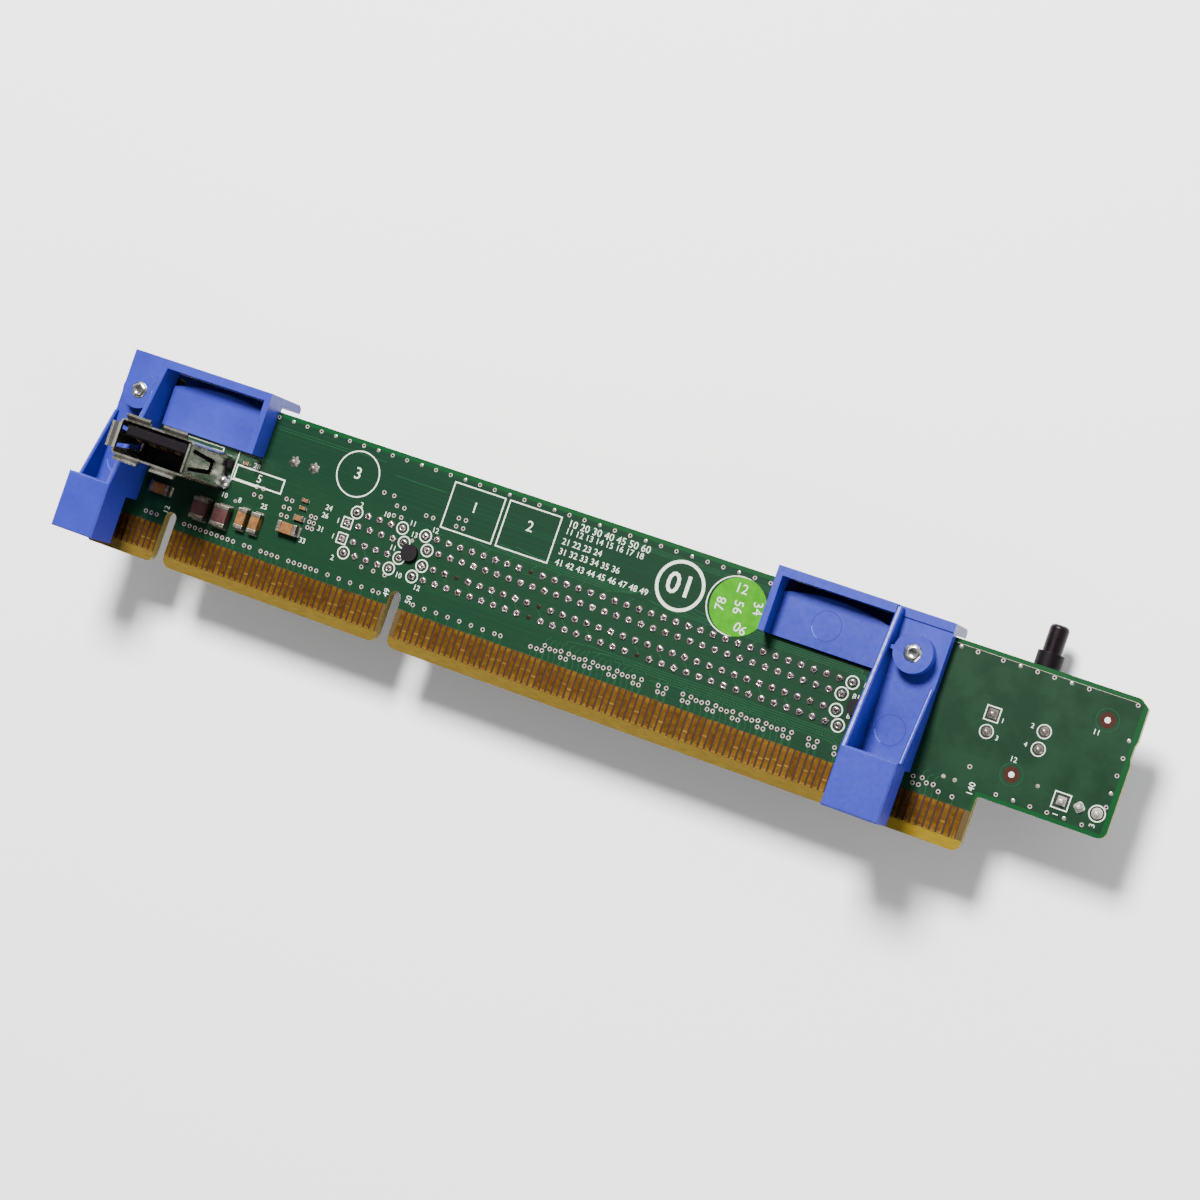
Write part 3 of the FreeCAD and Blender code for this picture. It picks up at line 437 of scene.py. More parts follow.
MATERIALS = {
    "board": board_material(),
    "gold": gold_material(),
    "blue": blue_material(),
    "sheet": sheet_material(),
    "solder": solder_material("solder", (176, 156, 158), (222, 208, 206), 0.2, 0.95, 0.35),
    "tips": solder_material("pin_tips", (34, 22, 26), (70, 52, 56), 0.35, 0.7),
    "dull_solder": solder_material("dull_solder", (132, 124, 116), (160, 150, 142), 0.34, 0.9, 0.02),
    "pale_solder": solder_material("pale_solder", (150, 144, 136), (198, 192, 182), 0.3, 0.85, 0.08),
    "tinned": solder_material("tinned_lands", (160, 154, 144), (206, 200, 190), 0.36, 0.5, 0.12),
    "bright": mottled("bright_dots", (204, 206, 210), (232, 234, 238), 0.35, 3.0, 30.0, 0.1, 0.3),
    "zinc": solder_material("zinc_steel", (150, 150, 150), (228, 228, 226), 0.18, 1.0, 0.2),
    "ink": mottled("white_ink", (182, 186, 176), (212, 216, 206), 0.6, 3.0, 40.0, 0.25, specular=0.3),
    "rim": mottled("pad_gap", (6, 22, 15), (14, 32, 21), 0.5, 2.0, specular=0.2),
    "via": mottled("via_ring", (134, 118, 118), (180, 166, 162), 0.4, 3.0, 30.0, 0.2, 0.3),
    # Painted shade: the dark discs in the open vias' holes
    "hole": mottled("via_hole_shade", (5, 6, 5), (10, 10, 8), 0.7, 4.0, specular=0.1),
    "rosin": mottled("rosin_hole", (12, 5, 2), (34, 15, 6), 0.4, 3.0, specular=0.15),
    "track": mottled("track_under_mask", (15, 60, 36), (22, 68, 40), 0.3, 0.6, 8.0, 0.1,
                     specular=0.25),
    "copper": mottled("bare_copper", (40, 11, 1), (52, 17, 1), 0.55, 2.0, 20.0, 0.2, specular=0.15),
    "black": mottled("black_plastic", (7, 3, 7), (12, 6, 12), 0.5, 1.2, 26.0, 0.2, specular=0.12),
    "slot": mottled("slot_plastic", (7, 5, 8), (14, 10, 14), 0.5, 0.9, 18.0, 0.3, specular=0.15),
    "plunger": mottled("plunger_plastic", (8, 1, 7), (15, 4, 12), 0.34, 0.8, 20.0, 0.1, specular=0.2),
    "bulk": mottled("dark_ceramic", (54, 28, 28), (66, 38, 38), 0.4, 1.4, 22.0, 0.2, specular=0.3),
    "tan": mottled("tan_ceramic", (92, 58, 26), (118, 80, 42), 0.4, 1.4, 22.0, 0.2, specular=0.3),
    "ends": solder_material("chip_ends", (126, 116, 106), (170, 160, 148), 0.34, 1.0, 0.03),
    "sticker": mottled("sticker_paper", (42, 118, 0), (54, 132, 1), 0.5, 0.8, 14.0, 0.15,
                       specular=0.1),
    "spring": mottled("spring_steel", (120, 120, 118), (170, 170, 168), 0.3, 2.0, 20.0, 0.1, 1.0),
    "pins": mottled("tinned_pins", (170, 166, 156), (210, 206, 196), 0.3, 1.5, 20.0, 0.1, 1.0),
    "can": mottled("can_aluminium", (176, 178, 182), (206, 208, 212), 0.3, 0.7, 24.0, 0.15, 1.0),
    "rubber": mottled("seal_rubber", (16, 16, 16), (26, 26, 26), 0.7, 1.4, 20.0, 0.3, specular=0.3),
    # Painted shade and painted highlight of the ejector marks: a darker blue ring and a lighter blue strip
    "groove_shade": mottled("mould_groove_shade", (22, 28, 112), (28, 34, 122), 0.5, 1.0, 20.0, 0.1,
                      specular=0.2),
    "painted_glint": mottled("mould_painted_highlight", (66, 80, 190), (80, 94, 200), 0.3, 1.0, 20.0, 0.1, specular=0.5),
}


# Shapes

class Shape:
    """Vertices and faces in slot millimetres that end up as one mesh."""

    def __init__(self):
        self.points = []
        self.faces = []

    def add(self, points, faces):
        base = len(self.points)
        self.points += points
        self.faces += [tuple(base + i for i in face) for face in faces]

    def lathe(self, x, y, profile, sides=20, closed=False, form=None, turn=0.0):
        """Turns (radius, z) points about the vertical at (x, y); form gives the radius a factor by angle."""
        points = []
        rings = []
        for radius, z in profile:
            if radius == 0:
                rings.append([len(points)] * sides)
                points.append((x, y, z))
                continue
            ring = []
            for i in range(sides):
                a = 2 * math.pi * i / sides
                r = radius * (form(a) if form else 1.0)
                ring.append(len(points))
                points.append((x + r * math.cos(a + turn), y + r * math.sin(a + turn), z))
            rings.append(ring)
        pairs = list(zip(rings, rings[1:]))
        if closed:
            pairs.append((rings[-1], rings[0]))
        faces = []
        for low, high in pairs:
            for i in range(sides):
                j = (i + 1) % sides
                corners = [low[i], low[j], high[j], high[i]]
                face = [c for k, c in enumerate(corners) if c not in corners[:k]]
                faces.append(face)
        self.add(points, faces)

    def ring(self, x, y, inner, outer, z0, z1, sides=24, form=None):
        """Flat ring, or a disc where inner is 0."""
        profile = [(inner, z0), (outer, z0), (outer, z1), (inner, z1)]
        self.lathe(x, y, profile, sides, inner != 0, form)

    def strip(self, points, width, z0, z1, loop=False):
        """Flat strip along a path, mitred at its corners."""
        count = len(points)
        left = []
        right = []
        for i, (x, y) in enumerate(points):
            before = points[i - 1] if loop or i > 0 else None
            after = points[(i + 1) % count] if loop or i < count - 1 else None
            one = Vector((x - before[0], y - before[1])).normalized() if before else None
            two = Vector((after[0] - x, after[1] - y)).normalized() if after else None
            one = one or two
            two = two or one
            normal = Vector((-(one.y + two.y), one.x + two.x)).normalized()
            reach = width / 2 / max(0.3, normal.dot(Vector((-one.y, one.x))))
            left.append((x + normal.x * reach, y + normal.y * reach))
            right.append((x - normal.x * reach, y - normal.y * reach))
        levels = []
        for z in (z0, z1):
            levels.append([(px, py, z) for px, py in left])
            levels.append([(px, py, z) for px, py in right])
        faces = []
        n = count
        for i in range(count if loop else count - 1):
            j = (i + 1) % count
            faces.append((i, j, n + j, n + i))
            faces.append((2 * n + i, 3 * n + i, 3 * n + j, 2 * n + j))
            faces.append((i, 2 * n + i, 2 * n + j, j))
            faces.append((n + i, n + j, 3 * n + j, 3 * n + i))
        if not loop:
            faces.append((0, n, 3 * n, 2 * n))
            faces.append((n - 1, 3 * n - 1, 4 * n - 1, 2 * n - 1))
        self.add([p for level in levels for p in level], faces)

    def frame(self, x0, x1, y0, y1, width):
        """Printed rectangle."""
        self.strip([(x0, y0), (x1, y0), (x1, y1), (x0, y1)], width, 0.0, INK, True)

    def number(self, text, x, y, height, turn=0.0, z0=0.0, z1=INK, bold=0.0, align="CENTER"):
        """Plain digits printed flat, centred on (x, y) or starting there."""
        curve = bpy.data.curves.new("digits", "FONT")
        curve.body = text
        curve.size = height * SIZE_OF_DIGITS
        curve.align_x = align
        curve.align_y = "CENTER"
        curve.extrude = (z1 - z0) / 2
        curve.offset = bold
        curve.resolution_u = 3
        holder = bpy.data.objects.new("digits", curve)
        mesh = bpy.data.meshes.new_from_object(holder)
        spin = Matrix.Rotation(turn, 3, "Z")
        points = []
        for v in mesh.vertices:
            p = spin @ v.co
            points.append((x + p.x, y + p.y, (z0 + z1) / 2 + p.z))
        self.add(points, [tuple(f.vertices) for f in mesh.polygons])
        bpy.data.objects.remove(holder)
        bpy.data.curves.remove(curve)
        bpy.data.meshes.remove(mesh)


def tidy_mesh(mesh, smooth_angle):
    """Joins points that coincide, turns the faces outwards and shades them smooth."""
    work = bmesh.new()
    work.from_mesh(mesh)
    bmesh.ops.remove_doubles(work, verts=work.verts, dist=1e-7)
    bmesh.ops.recalc_face_normals(work, faces=work.faces)
    work.to_mesh(mesh)
    work.free()
    mesh.shade_smooth()
    mesh.set_sharp_from_angle(angle=math.radians(smooth_angle))


def make(name, shape, material, body="card", replaces=(), smooth_angle=40):
    """Object from a shape, riding on a body and standing for the named nodes."""
    mesh = bpy.data.meshes.new(name)
    mesh.from_pydata([at(*p) for p in shape.points], [], shape.faces)
    tidy_mesh(mesh, smooth_angle)
    mesh.materials.append(MATERIALS[material])
    made = added(name, mesh)
    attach(made, body)
    if replaces:
        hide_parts(*replaces)


def flat_areas(work):
    """Area of the flat region that each face belongs to, so that a large flat face outweighs its fillets."""
    region = {}
    areas = []
    for start in work.faces:
        if start.index in region:
            continue
        total = 0.0
        queue = [start]
        region[start.index] = len(areas)
        while queue:
            face = queue.pop()
            total += face.calc_area()
            for edge in face.edges:
                for other in edge.link_faces:
                    if other.index not in region and face.normal.dot(other.normal) > 0.99999:
                        region[other.index] = len(areas)
                        queue.append(other)
        areas.append(total)
    return [areas[region[face.index]] for face in work.faces]


def corner_normals(mesh, sharp):
    """Smooth normals at fillets that leave the flat faces flat: each corner takes the mean of the faces
    reached round it without crossing a sharp edge, weighted by the square of their flat area."""
    work = bmesh.new()
    work.from_mesh(mesh)
    work.faces.ensure_lookup_table()
    work.faces.index_update()
    areas = flat_areas(work)
    limit = math.radians(sharp)
    normals = []
    for face in work.faces:
        for corner in face.loops:
            reached = {face}
            queue = [face]
            while queue:
                current = queue.pop()
                for edge in corner.vert.link_edges:
                    if current not in edge.link_faces or len(edge.link_faces) != 2:
                        continue
                    if edge.calc_face_angle() > limit:
                        continue
                    for other in edge.link_faces:
                        if other not in reached:
                            reached.add(other)
                            queue.append(other)
            total = Vector((0, 0, 0))
            for other in reached:
                total += other.normal * (areas[other.index] ** 2)
            normals.append(total.normalized() if total.length else face.normal.copy())
    work.free()
    mesh.normals_split_custom_set(normals)


def softened(node, name, radius, material, body="card"):
    """Copy of a node's mesh with its sharp edges rounded, standing for the node."""
    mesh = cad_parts[node].data.copy()
    work = bmesh.new()
    work.from_mesh(mesh)
    bmesh.ops.remove_doubles(work, verts=work.verts, dist=1e-6)
    bmesh.ops.dissolve_limit(work, angle_limit=math.radians(1.0), verts=work.verts, edges=work.edges)
    edges = [e for e in work.edges if len(e.link_faces) == 2 and e.calc_face_angle() > math.radians(SHARP)]
    bmesh.ops.bevel(work, geom=edges, offset=radius * MM, segments=ROUND_STEPS, profile=0.5,
                    affect="EDGES", clamp_overlap=True)
    bmesh.ops.triangulate(work, faces=[f for f in work.faces if len(f.verts) > 4])
    work.to_mesh(mesh)
    work.free()
    mesh.shade_smooth()
    corner_normals(mesh, SMOOTHED)
    mesh.materials.clear()
    mesh.materials.append(MATERIALS[material])
    made = added(name, mesh)
    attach(made, body)
    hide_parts(node)


def paint(node, material):
    """Finish on a node whose shape is right as it is."""
    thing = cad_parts[node]
    thing.data.materials.clear()
    thing.data.materials.append(MATERIALS[material])


# Places that several pieces share

def pin_x(n):
    """X of the slot's pin n."""
    return (n - 1) + (KEY_JUMP if n > KEY_AFTER else 0.0)


def pin_spots():
    """(pin number, x, y) of every joint of the slot."""
    for n in range(1, PINS + 1):
        row = ROWS[0] if n % 2 else ROWS[1]
        for side in (-1, 1):
            yield n, pin_x(n), side * row


def near(spot, others):
    """Whether one of the other places lies on this spot."""
    return any(abs(spot[0] - x) < 0.6 and abs(spot[1] - y) < 0.6 for x, y in others)


def star(lobes, depth):
    """Form of a joint that drew back into lobes."""
    return lambda a: 1.0 + depth * math.cos(lobes * a)


def square(a):
    """Form of a square pad."""
    return 1.0 / max(abs(math.cos(a)), abs(math.sin(a)))


# Solder joints of the slot

def slot_joints():
    """Hollow and partly starry joints round the pins' tips, and the holes that stayed empty."""
    bright = Shape()
    dull = Shape()
    tips = Shape()
    gaps = Shape()
    empty = Shape()
    pad = 0.55
    for n, x, y in pin_spots():
        if near((x, y), EMPTY_HOLES):
            empty.lathe(x, y, [(0, 0.0), (0.36, 0.0), (0.34, 0.02), (0.24, 0.03), (0, 0.012)], 20)
            continue
        gaps.ring(x, y, 0.48, 0.63, 0.0, PAD_GAP, 24)
        target = dull if near((x, y), DULL_JOINTS) else bright
        starry = (n // 2) % 2 == 0
        form = star(random.choice((3, 4, 5)), 0.13) if starry else star(2, 0.03)
        turn = 0.35 + random.uniform(-0.35, 0.35)
        rise = random.uniform(0.75, 1.2)
        hollow = random.uniform(0.19, 0.27)
        profile = [(0, -SUNK), (pad, -SUNK), (pad, 0.03), (0.52, 0.1 * rise), (0.47, 0.21 * rise),
                   (0.4, 0.29 * rise), (0.31, 0.31 * rise), (hollow + 0.02, 0.24 * rise),
                   (hollow - 0.02, 0.1 * rise), (0, 0.09 * rise)]
        target.lathe(x, y, profile, 24, form=form, turn=turn)
        r = hollow * 0.95
        shift_x = random.uniform(-0.05, 0.05)
        shift_y = random.uniform(-0.05, 0.05)
        tip = [(0, 0.0), (r, 0.0), (r, 0.2 * rise), (r * 0.7, 0.24 * rise), (0, 0.25 * rise)]
        tips.lathe(x + shift_x, y + shift_y, tip, 12)
    make("slot_joints", bright, "solder", replaces=("slot_solder_joints",), smooth_angle=60)
    make("slot_joints_dull", dull, "dull_solder", smooth_angle=60)
    make("slot_pin_tips", tips, "tips", smooth_angle=50)
    make("slot_pad_gaps", gaps, "rim")
    make("slot_open_holes", empty, "rosin")


# Vias

def edge_vias():
    """The stitching row along the card's top edge and round its tab."""
    first = -16.7
    last = 66.7
    pitch = 2.527
    steps = int(round((last - first) / pitch))
    row = [first + (last - first) * i / steps for i in range(steps + 1)]
    spots = [(x, 13.35 - 0.0037 * (x + 17)) for x in row]
    spots += [(x, 13.1) for x in (96.2, 98.7, 102.5, 105.05, 107.6, 110.1, 112.65, 115.2, 122.3)]
    spots += [(122.7, y) for y in (8.0, 5.45, 2.9, 0.3, -1.7)]
    spots += [(x, -5.1) for x in (107.65, 110.2, 112.7, 115.2, 117.7, 120.3)]
    return spots


def field_vias():
    """The row above the fingers, the repeated clusters beside it, and single ones as in the photograph."""
    row = [-33.4, -32.4, -31.4, -15.3, -14.3, -12.3, -11.3, -10.3, -9.3]
    row += [-26.3 + i for i in range(10)]
    row += [-7.3 + i for i in range(6)]
    row += [-0.3, 1.7, 3.7, 5.7, 7.7, 8.7, 29.7, 34.8, 35.8, 36.7]
    row += [14.7 + 2 * i for i in range(8)]
    spots = [(x, VIA_ROW) for x in row]
    cluster = ((0, -6.4), (0.9, -6.65), (1.8, -6.65), (2.7, -6.4), (2.9, -7.3), (3.8, -7.3))
    for k in range(12):
        cluster_x = 36.9 + 4 * k
        for i, (dx, y) in enumerate(cluster):
            if k in (4, 5, 10, 11) and i in (1, 2):
                continue
            spots.append((cluster_x + dx, y))
    spots += [(4.2, 7.5), (5.95, 7.5), (6.9, 6.2), (8.2, 6.2), (6.95, 4.65), (8.2, 4.7), (11.15, 1.9),
              (12.0, 6.2), (13.2, 6.2), (4.6, -4.4), (6.7, -4.4), (8.7, -4.4), (-19.2, -1.2), (102.9, -2.6),
              (99.8, -5.1), (101.5, -5.1), (95.7, -6.5), (97.0, -6.3), (97.8, -6.8), (98.8, -6.7),
              (95.9, -7.4), (96.8, -7.4), (99.8, -7.4), (101.9, -7.45)]
    blocks = ((17.2, 18.4, (7.45, 6.15)), (-11.0, -10.0, (1.7, 0.4, -0.9)), (-6.1, -5.3, (0.4, -0.5, -1.4)),
              (-16.5, -15.3, (2.0, 0.7)))
    for x0, x1, ys in blocks:
        spots += [(x, y) for x in (x0, x1) for y in ys]
    return spots


def vias():
    """Open vias as a ring with a centre painted dark as the shade in the hole, and closed ones as a cap of
    solder.
    """
    rings = Shape()
    centres = Shape()
    caps = Shape()
    hole, pad = FIELD_VIA
    for x, y in field_vias():
        if (x, y) in SOLID_VIAS:
            caps.lathe(x, y, [(0, 0.0), (0.33, 0.0), (0.31, 0.03), (0, 0.045)], 20)
            continue
        rings.ring(x, y, hole, pad, 0.0, 0.015, 20)
        centres.ring(x, y, 0, hole, 0.0, 0.006, 16)
    hole, pad = EDGE_VIA
    for i, (x, y) in enumerate(edge_vias()):
        if i % 3 == 1:
            caps.lathe(x, y, [(0, 0.0), (0.3, 0.0), (0.28, 0.02), (0.18, 0.035), (0, 0.03)], 20)
        else:
            rings.ring(x, y, hole, pad, 0.0, 0.02, 20)
            centres.ring(x, y, 0, hole, 0.0, 0.008, 16)
    caps.lathe(*LONE_CAP, [(0, 0.0), (0.3, 0.0), (0.28, 0.03), (0, 0.04)], 16)
    make("via_rings", rings, "via")
    make("via_hole_shades", centres, "hole")
    make("via_caps", caps, "pale_solder")


# Tracks under the solder mask

def tracks():
    """Bundles of parallel lanes, short runs at vias and pins, and the line along the tab's top edge."""
    lines = Shape()
    width = 0.09

    def run(points):
        lines.strip(points, width, -TRACK_SUNK, TRACK)

    for i in range(5):
        y = 4.45 + 0.32 * i
        run([(50.0 + 2.2 * i, y + 0.5), (54.0 + 2.2 * i, y), (83.6, y), (85.8 - 0.4 * i, y - 0.9)])
    for i in range(5):
        y = -4.3 - 0.36 * i
        run([(40.0 + 3.5 * i, y - 0.4), (43.0 + 3.5 * i, y), (84.5 - 0.5 * i, y), (86.0 - 0.5 * i, y - 0.8)])
    for i in range(3):
        y = 12.5 - 0.3 * i
        run([(34.0 + 3.0 * i, y), (66.5, y - 0.15), (68.0, y - 0.9)])
    for i in range(4):
        y = 4.6 + 0.34 * i
        run([(20.0 + 2.5 * i, y + 0.5), (23.0 + 2.5 * i, y), (44.0 + i, y - 0.1), (47.0 + i, y + 0.5)])
    for x, y in field_vias():
        if y < -6.0:
            run([(x, y - 0.3), (x + 0.25, -7.9), (x + 0.25, MASK_END)])
            if -7.0 < y:
                run([(x, y + 0.3), (x, y + 0.9), (x + 0.6, y + 1.5)])
    for n, x, y in pin_spots():
        if n % 4 == 1 and y < 0:
            run([(x, y - 0.55), (x + 0.9, y - 1.5), (x + 0.9, y - 2.4)])
        if n % 4 == 2 and y > 0:
            run([(x, y + 0.55), (x + 0.7, y + 1.2)])
    for x0, y0, x1, y1 in ((-16.5, 12.0, 3.0, 12.0), (-16.5, 11.6, -3.0, 11.6), (5.0, 10.5, 14.0, 10.5)):
        run([(x0, y0), (x1, y1)])
    make("tracks", lines, "track")
    line = Shape()
    line.strip([(92.0, 13.5), (122.2, 13.42)], 0.05, 0.0, TRACK)
    make("edge_line", line, "via")


# White print: outlines and plain numbers

def print_boxes(ink):
    """The ringed numbers, the two boxes, the line round the label, and the outlines at the receptacle."""
    line = 0.2
    ink.ring(-0.95, 8.88, 3.45, 3.65, 0, INK, 72)
    ink.number("3", -0.95, 8.9, 1.9)
    ink.frame(14.8, 23.4, 5.3, 12.5, line)
    ink.number("1", 19.1, 9.6, 1.7)
    ink.frame(24.2, 32.9, 5.3, 12.5, line)
    ink.number("2", 28.5, 9.6, 1.7)
    ink.ring(53.8, 8.45, 3.35, 3.85, 0, INK, 80)
    ink.number("01", 53.8, 8.45, 3.3, bold=0.06)
    ink.ring(62.75, 8.25, 4.3, 4.48, 0, INK, 80)
    ink.frame(-20.8, -12.3, 2.1, 4.3, 0.22)
    ink.number("5", -16.5, 3.2, 1.3)
    ink.strip([(-21.2, 6.3), (-21.2, 1.9), (-16.5, 1.9)], 0.15, 0, INK)
    ink.strip([(-31.0, 6.05), (-24.0, 6.05), (-24.0, 5.4), (-26.0, 5.4)], 0.16, 0, INK)


def print_rows(ink):
    """Rows of plain numbers where the photograph has a table; each row has its y and digit height."""
    rows_x = 34.1
    rows = (("10 20 30 40 45 50 60", 11.95, 1.15), ("11 12 13 14 15 16 17 18", 10.75, 0.95),
            ("21 22 23 24", 9.15, 1.0), ("31 32 33 34 35 36", 7.6, 1.0),
            ("41 42 43 44 45 46 47 48 49", 5.9, 1.0))
    for row, y, height in rows:
        ink.number(row, rows_x, y, height, align="LEFT")


def print_at_slot(ink):
    """Marks round the slot's first, key and last pins, their numbers, and those of fingers and chips."""
    half = 0.8
    for y in (1.25, -1.25):
        ink.frame(pin_x(1) - half, pin_x(1) + half, y - half, y + half, 0.18)
    for n in (2, 10, 11, 12, 13, 81, 82):
        row = ROWS[0] if n % 2 else ROWS[1]
        for side in (-1, 1):
            ink.ring(pin_x(n), side * row, 0.84, 1.03, 0, INK, 36)
    at_pins = (("1", -1.55, 1.1), ("1", -1.55, -1.4), ("2", 1.35, 4.55), ("2", -0.5, -4.55),
               ("10", 5.85, 4.4), ("11", 10.4, 4.4), ("12", 14.25, 4.5), ("13", 11.2, 2.85),
               ("10", 10.85, -3.75), ("11", 8.55, -0.1), ("12", 14.35, -4.65), ("82", 85.3, 3.4),
               ("81", 84.2, 1.4), ("81", 84.3, -1.5), ("82", 85.2, -3.4))
    for text, x, y in at_pins:
        ink.number(text, x, y, DIGITS)
    for text, x, y in (("49", 9.95, -6.8), ("50", 13.8, -6.75), ("140", 104.1, -5.5), ("12", -30.0, -6.0)):
        ink.number(text, x, y, 0.95, math.pi / 2)
    at_chips = (("24", -3.7, 2.5), ("26", -3.9, 1.2), ("31", -3.9, -1.0), ("33", -6.2, -3.6),
                ("10", -21.3, -0.9), ("8", -18.5, -0.9), ("25", -14.2, -0.6), ("28", -17.6, 4.95))
    for text, x, y in at_chips:
        ink.number(text, x, y, DIGITS)


def print_at_tab(ink):
    """Marks and numbers at the joints of the switch and the header, and at the fiducials."""
    ink.frame(102.5, 104.55, 4.45, 6.5, 0.16)
    for x, y in ((103.5, 2.85), (111.2, 5.45), (111.2, 2.85)):
        ink.ring(x, y, 0.9, 1.05, 0, INK, 40)
    for text, x, y in (("1", 105.2, 5.0), ("3", 105.2, 2.4), ("2", 109.4, 5.7), ("4", 109.3, 2.9)):
        ink.number(text, x, y, 0.72)
    ink.frame(115.4, 117.7, -4.1, -1.8, 0.17)
    ink.ring(121.8, -2.95, 1.05, 1.22, 0, INK, 40)
    ink.number("1", 116.4, -4.95, DIGITS, math.pi / 2)
    ink.number("3", 121.7, -4.75, DIGITS, math.pi / 2)
    for text, x, y in (("11", 118.1, 7.7), ("12", 108.4, 0.35)):
        ink.number(text, x, y, 0.8)


def print_on_board():
    ink = Shape()
    print_boxes(ink)
    print_rows(ink)
    print_at_slot(ink)
    print_at_tab(ink)
    make("white_print", ink, "ink")


def fiducials():
    """Round marks on the tab: a bright dot in a copper window with a faint ring."""
    copper = Shape()
    dots = Shape()
    halo = Shape()
    for x, y in ((119.0, 9.8), (108.8, -1.75)):
        copper.ring(x, y, 0, 1.14, 0.0, 0.01, 40)
        dots.lathe(x, y, [(0, 0.0), (0.45, 0.0), (0.42, 0.03), (0, 0.04)], 24)
        halo.ring(x, y, 1.58, 1.66, 0.0, 0.01, 48)
    make("fiducial_windows", copper, "copper")
    make("fiducial_dots", dots, "bright")
    make("fiducial_halos", halo, "track")


# Other solder joints

def joint(shape, x, y, r, h, tip, form=None, turn=0.0):
    """Cone of solder of radius r that rises to h, round the tip of a pin."""
    profile = [(0, -SUNK), (r, -SUNK), (r, 0.03), (r * 0.93, 0.06), (r * 0.74, h * 0.34), (r * 0.5, h * 0.68),
               (tip + 0.06, h * 0.92), (tip, h + 0.08), (tip * 0.6, h + 0.14), (0, h + 0.15)]
    shape.lathe(x, y, profile, 36, form=form, turn=turn)


def other_joints():
    """Joints of the switch, the header and the reservoir; a square pad marks the first pin."""
    gaps = Shape()
    switch = Shape()
    for i, (x, y) in enumerate(SWITCH_JOINTS):
        form = square if i == 0 else None
        joint(switch, x, y, 0.7, 0.72, 0.26, form)
        gaps.ring(x, y, 0.68, 0.92, 0.0, PAD_GAP, 36, form)
    make("switch_joints", switch, "dull_solder", replaces=("switch_solder_joints",),
         smooth_angle=60)
    header = Shape()
    pads = ((0.66, 0.64, square), (0.76, None, star(4, 0.09)), (0.8, 0.78, None))
    for x, (r, gap, form) in zip(HEADER_JOINTS, pads):
        joint(header, x, HEADER_Y, r, 0.9, 0.28, form)
        if gap:
            gaps.ring(x, HEADER_Y, gap, 1.02, 0.0, PAD_GAP, 36, form)
    make("header_joints", header, "tinned", replaces=("header_solder_joints",), smooth_angle=60)
    reservoir = Shape()
    for x in RESERVOIR_JOINTS:
        joint(reservoir, x, RESERVOIR_Y, 0.82, 0.55, 0.28, star(6, 0.14), random.uniform(0, 1))
    make("reservoir_joints", reservoir, "dull_solder", replaces=("reservoir_solder_joints",),
         smooth_angle=60)
    make("joint_gaps", gaps, "rim")


def usb_joints():
    """The bright bead beside the receptacle, and the cones under its legs."""
    low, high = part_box("usb_shell")
    joint_low, joint_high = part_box("usb_solder_joints")
    right = (high.x - ORIGIN.x) / MM
    y = ((joint_low.y + joint_high.y) / 2 - ORIGIN.y) / MM
    left = (low.x - ORIGIN.x) / MM
    beads = Shape()
    r = 1.32
    dome = [(r * math.cos(math.radians(a)), r * math.sin(math.radians(a))) for a in range(0, 90, 11)]
    beads.lathe(right + 0.12, y, [(0, -SUNK)] + dome + [(0, r)], 36)
    back = -1.6
    cone = [(0, back), (1.4, back), (1.3, back - 0.15), (0.95, back - 0.6), (0.7, back - 1.25),
            (0, back - 1.3)]
    for x in (right - 0.15, left + 1.0):
        beads.lathe(x, y, cone, 28)
    make("usb_joints", beads, "zinc", replaces=("usb_solder_joints",), smooth_angle=60)


def chip_lands():
    """Solder fillets and lands at both ends of the chip capacitors."""
    lands = Shape()
    # Middle, length, width, and whether the chip lies along the card
    chips = ((-24.05, -4.1, 3.5, 2.5, False), (-20.25, -4.15, 3.5, 2.5, False),
             (-16.85, -3.5, 3.3, 1.5, False), (-14.45, -3.5, 3.3, 1.5, False),
             (-8.85, -2.6, 3.4, 1.7, True), (-31.9, -3.2, 3.4, 1.7, True), (-7.85, -0.5, 1.6, 0.85, True),
             (-7.8, 1.15, 1.1, 0.5, True), (-7.8, 2.4, 1.1, 0.55, True), (-19.4, 4.85, 1.0, 0.5, True))
    faces = [tuple(range(6)), tuple(range(11, 5, -1))]
    faces += [(i, i + 6, (i + 1) % 6 + 6, (i + 1) % 6) for i in range(6)]
    for x, y, length, width, along_x in chips:
        reach = min(0.24, length * 0.12)
        half = width / 2 - 0.05
        rise = min(0.35, width * 0.2)
        end = length / 2
        section = ((end - 0.25, 0.0), (end + reach, 0.0), (end + reach, 0.04),
                   (end + reach * 0.6, rise * 0.4), (end + 0.055, rise), (end - 0.25, rise))
        for side in (-1, 1):
            points = []
            for across in (-half, half):
                for along, z in section:
                    px, py = (side * along, across) if along_x else (across, side * along)
                    points.append((x + px, y + py, z))
            lands.add(points, faces)
    make("chip_lands", lands, "pale_solder", smooth_angle=50)


# Screws' ends, mould marks, label

def screw_ends():
    """The screws' hollow tips in the guides' bosses."""
    ends = Shape()
    profile = [(0, 4.4), (1.22, 4.4), (1.26, 4.86), (1.05, 5.06), (0.8, 5.1), (0.62, 4.95), (0.34, 4.9),
               (0, 4.88)]
    for i, (x, y) in enumerate(BOSSES):
        ends.lathe(x, y, profile, 40, form=star(5, 0.05), turn=0.4 + i)
    make("screw_ends", ends, "zinc", smooth_angle=45)


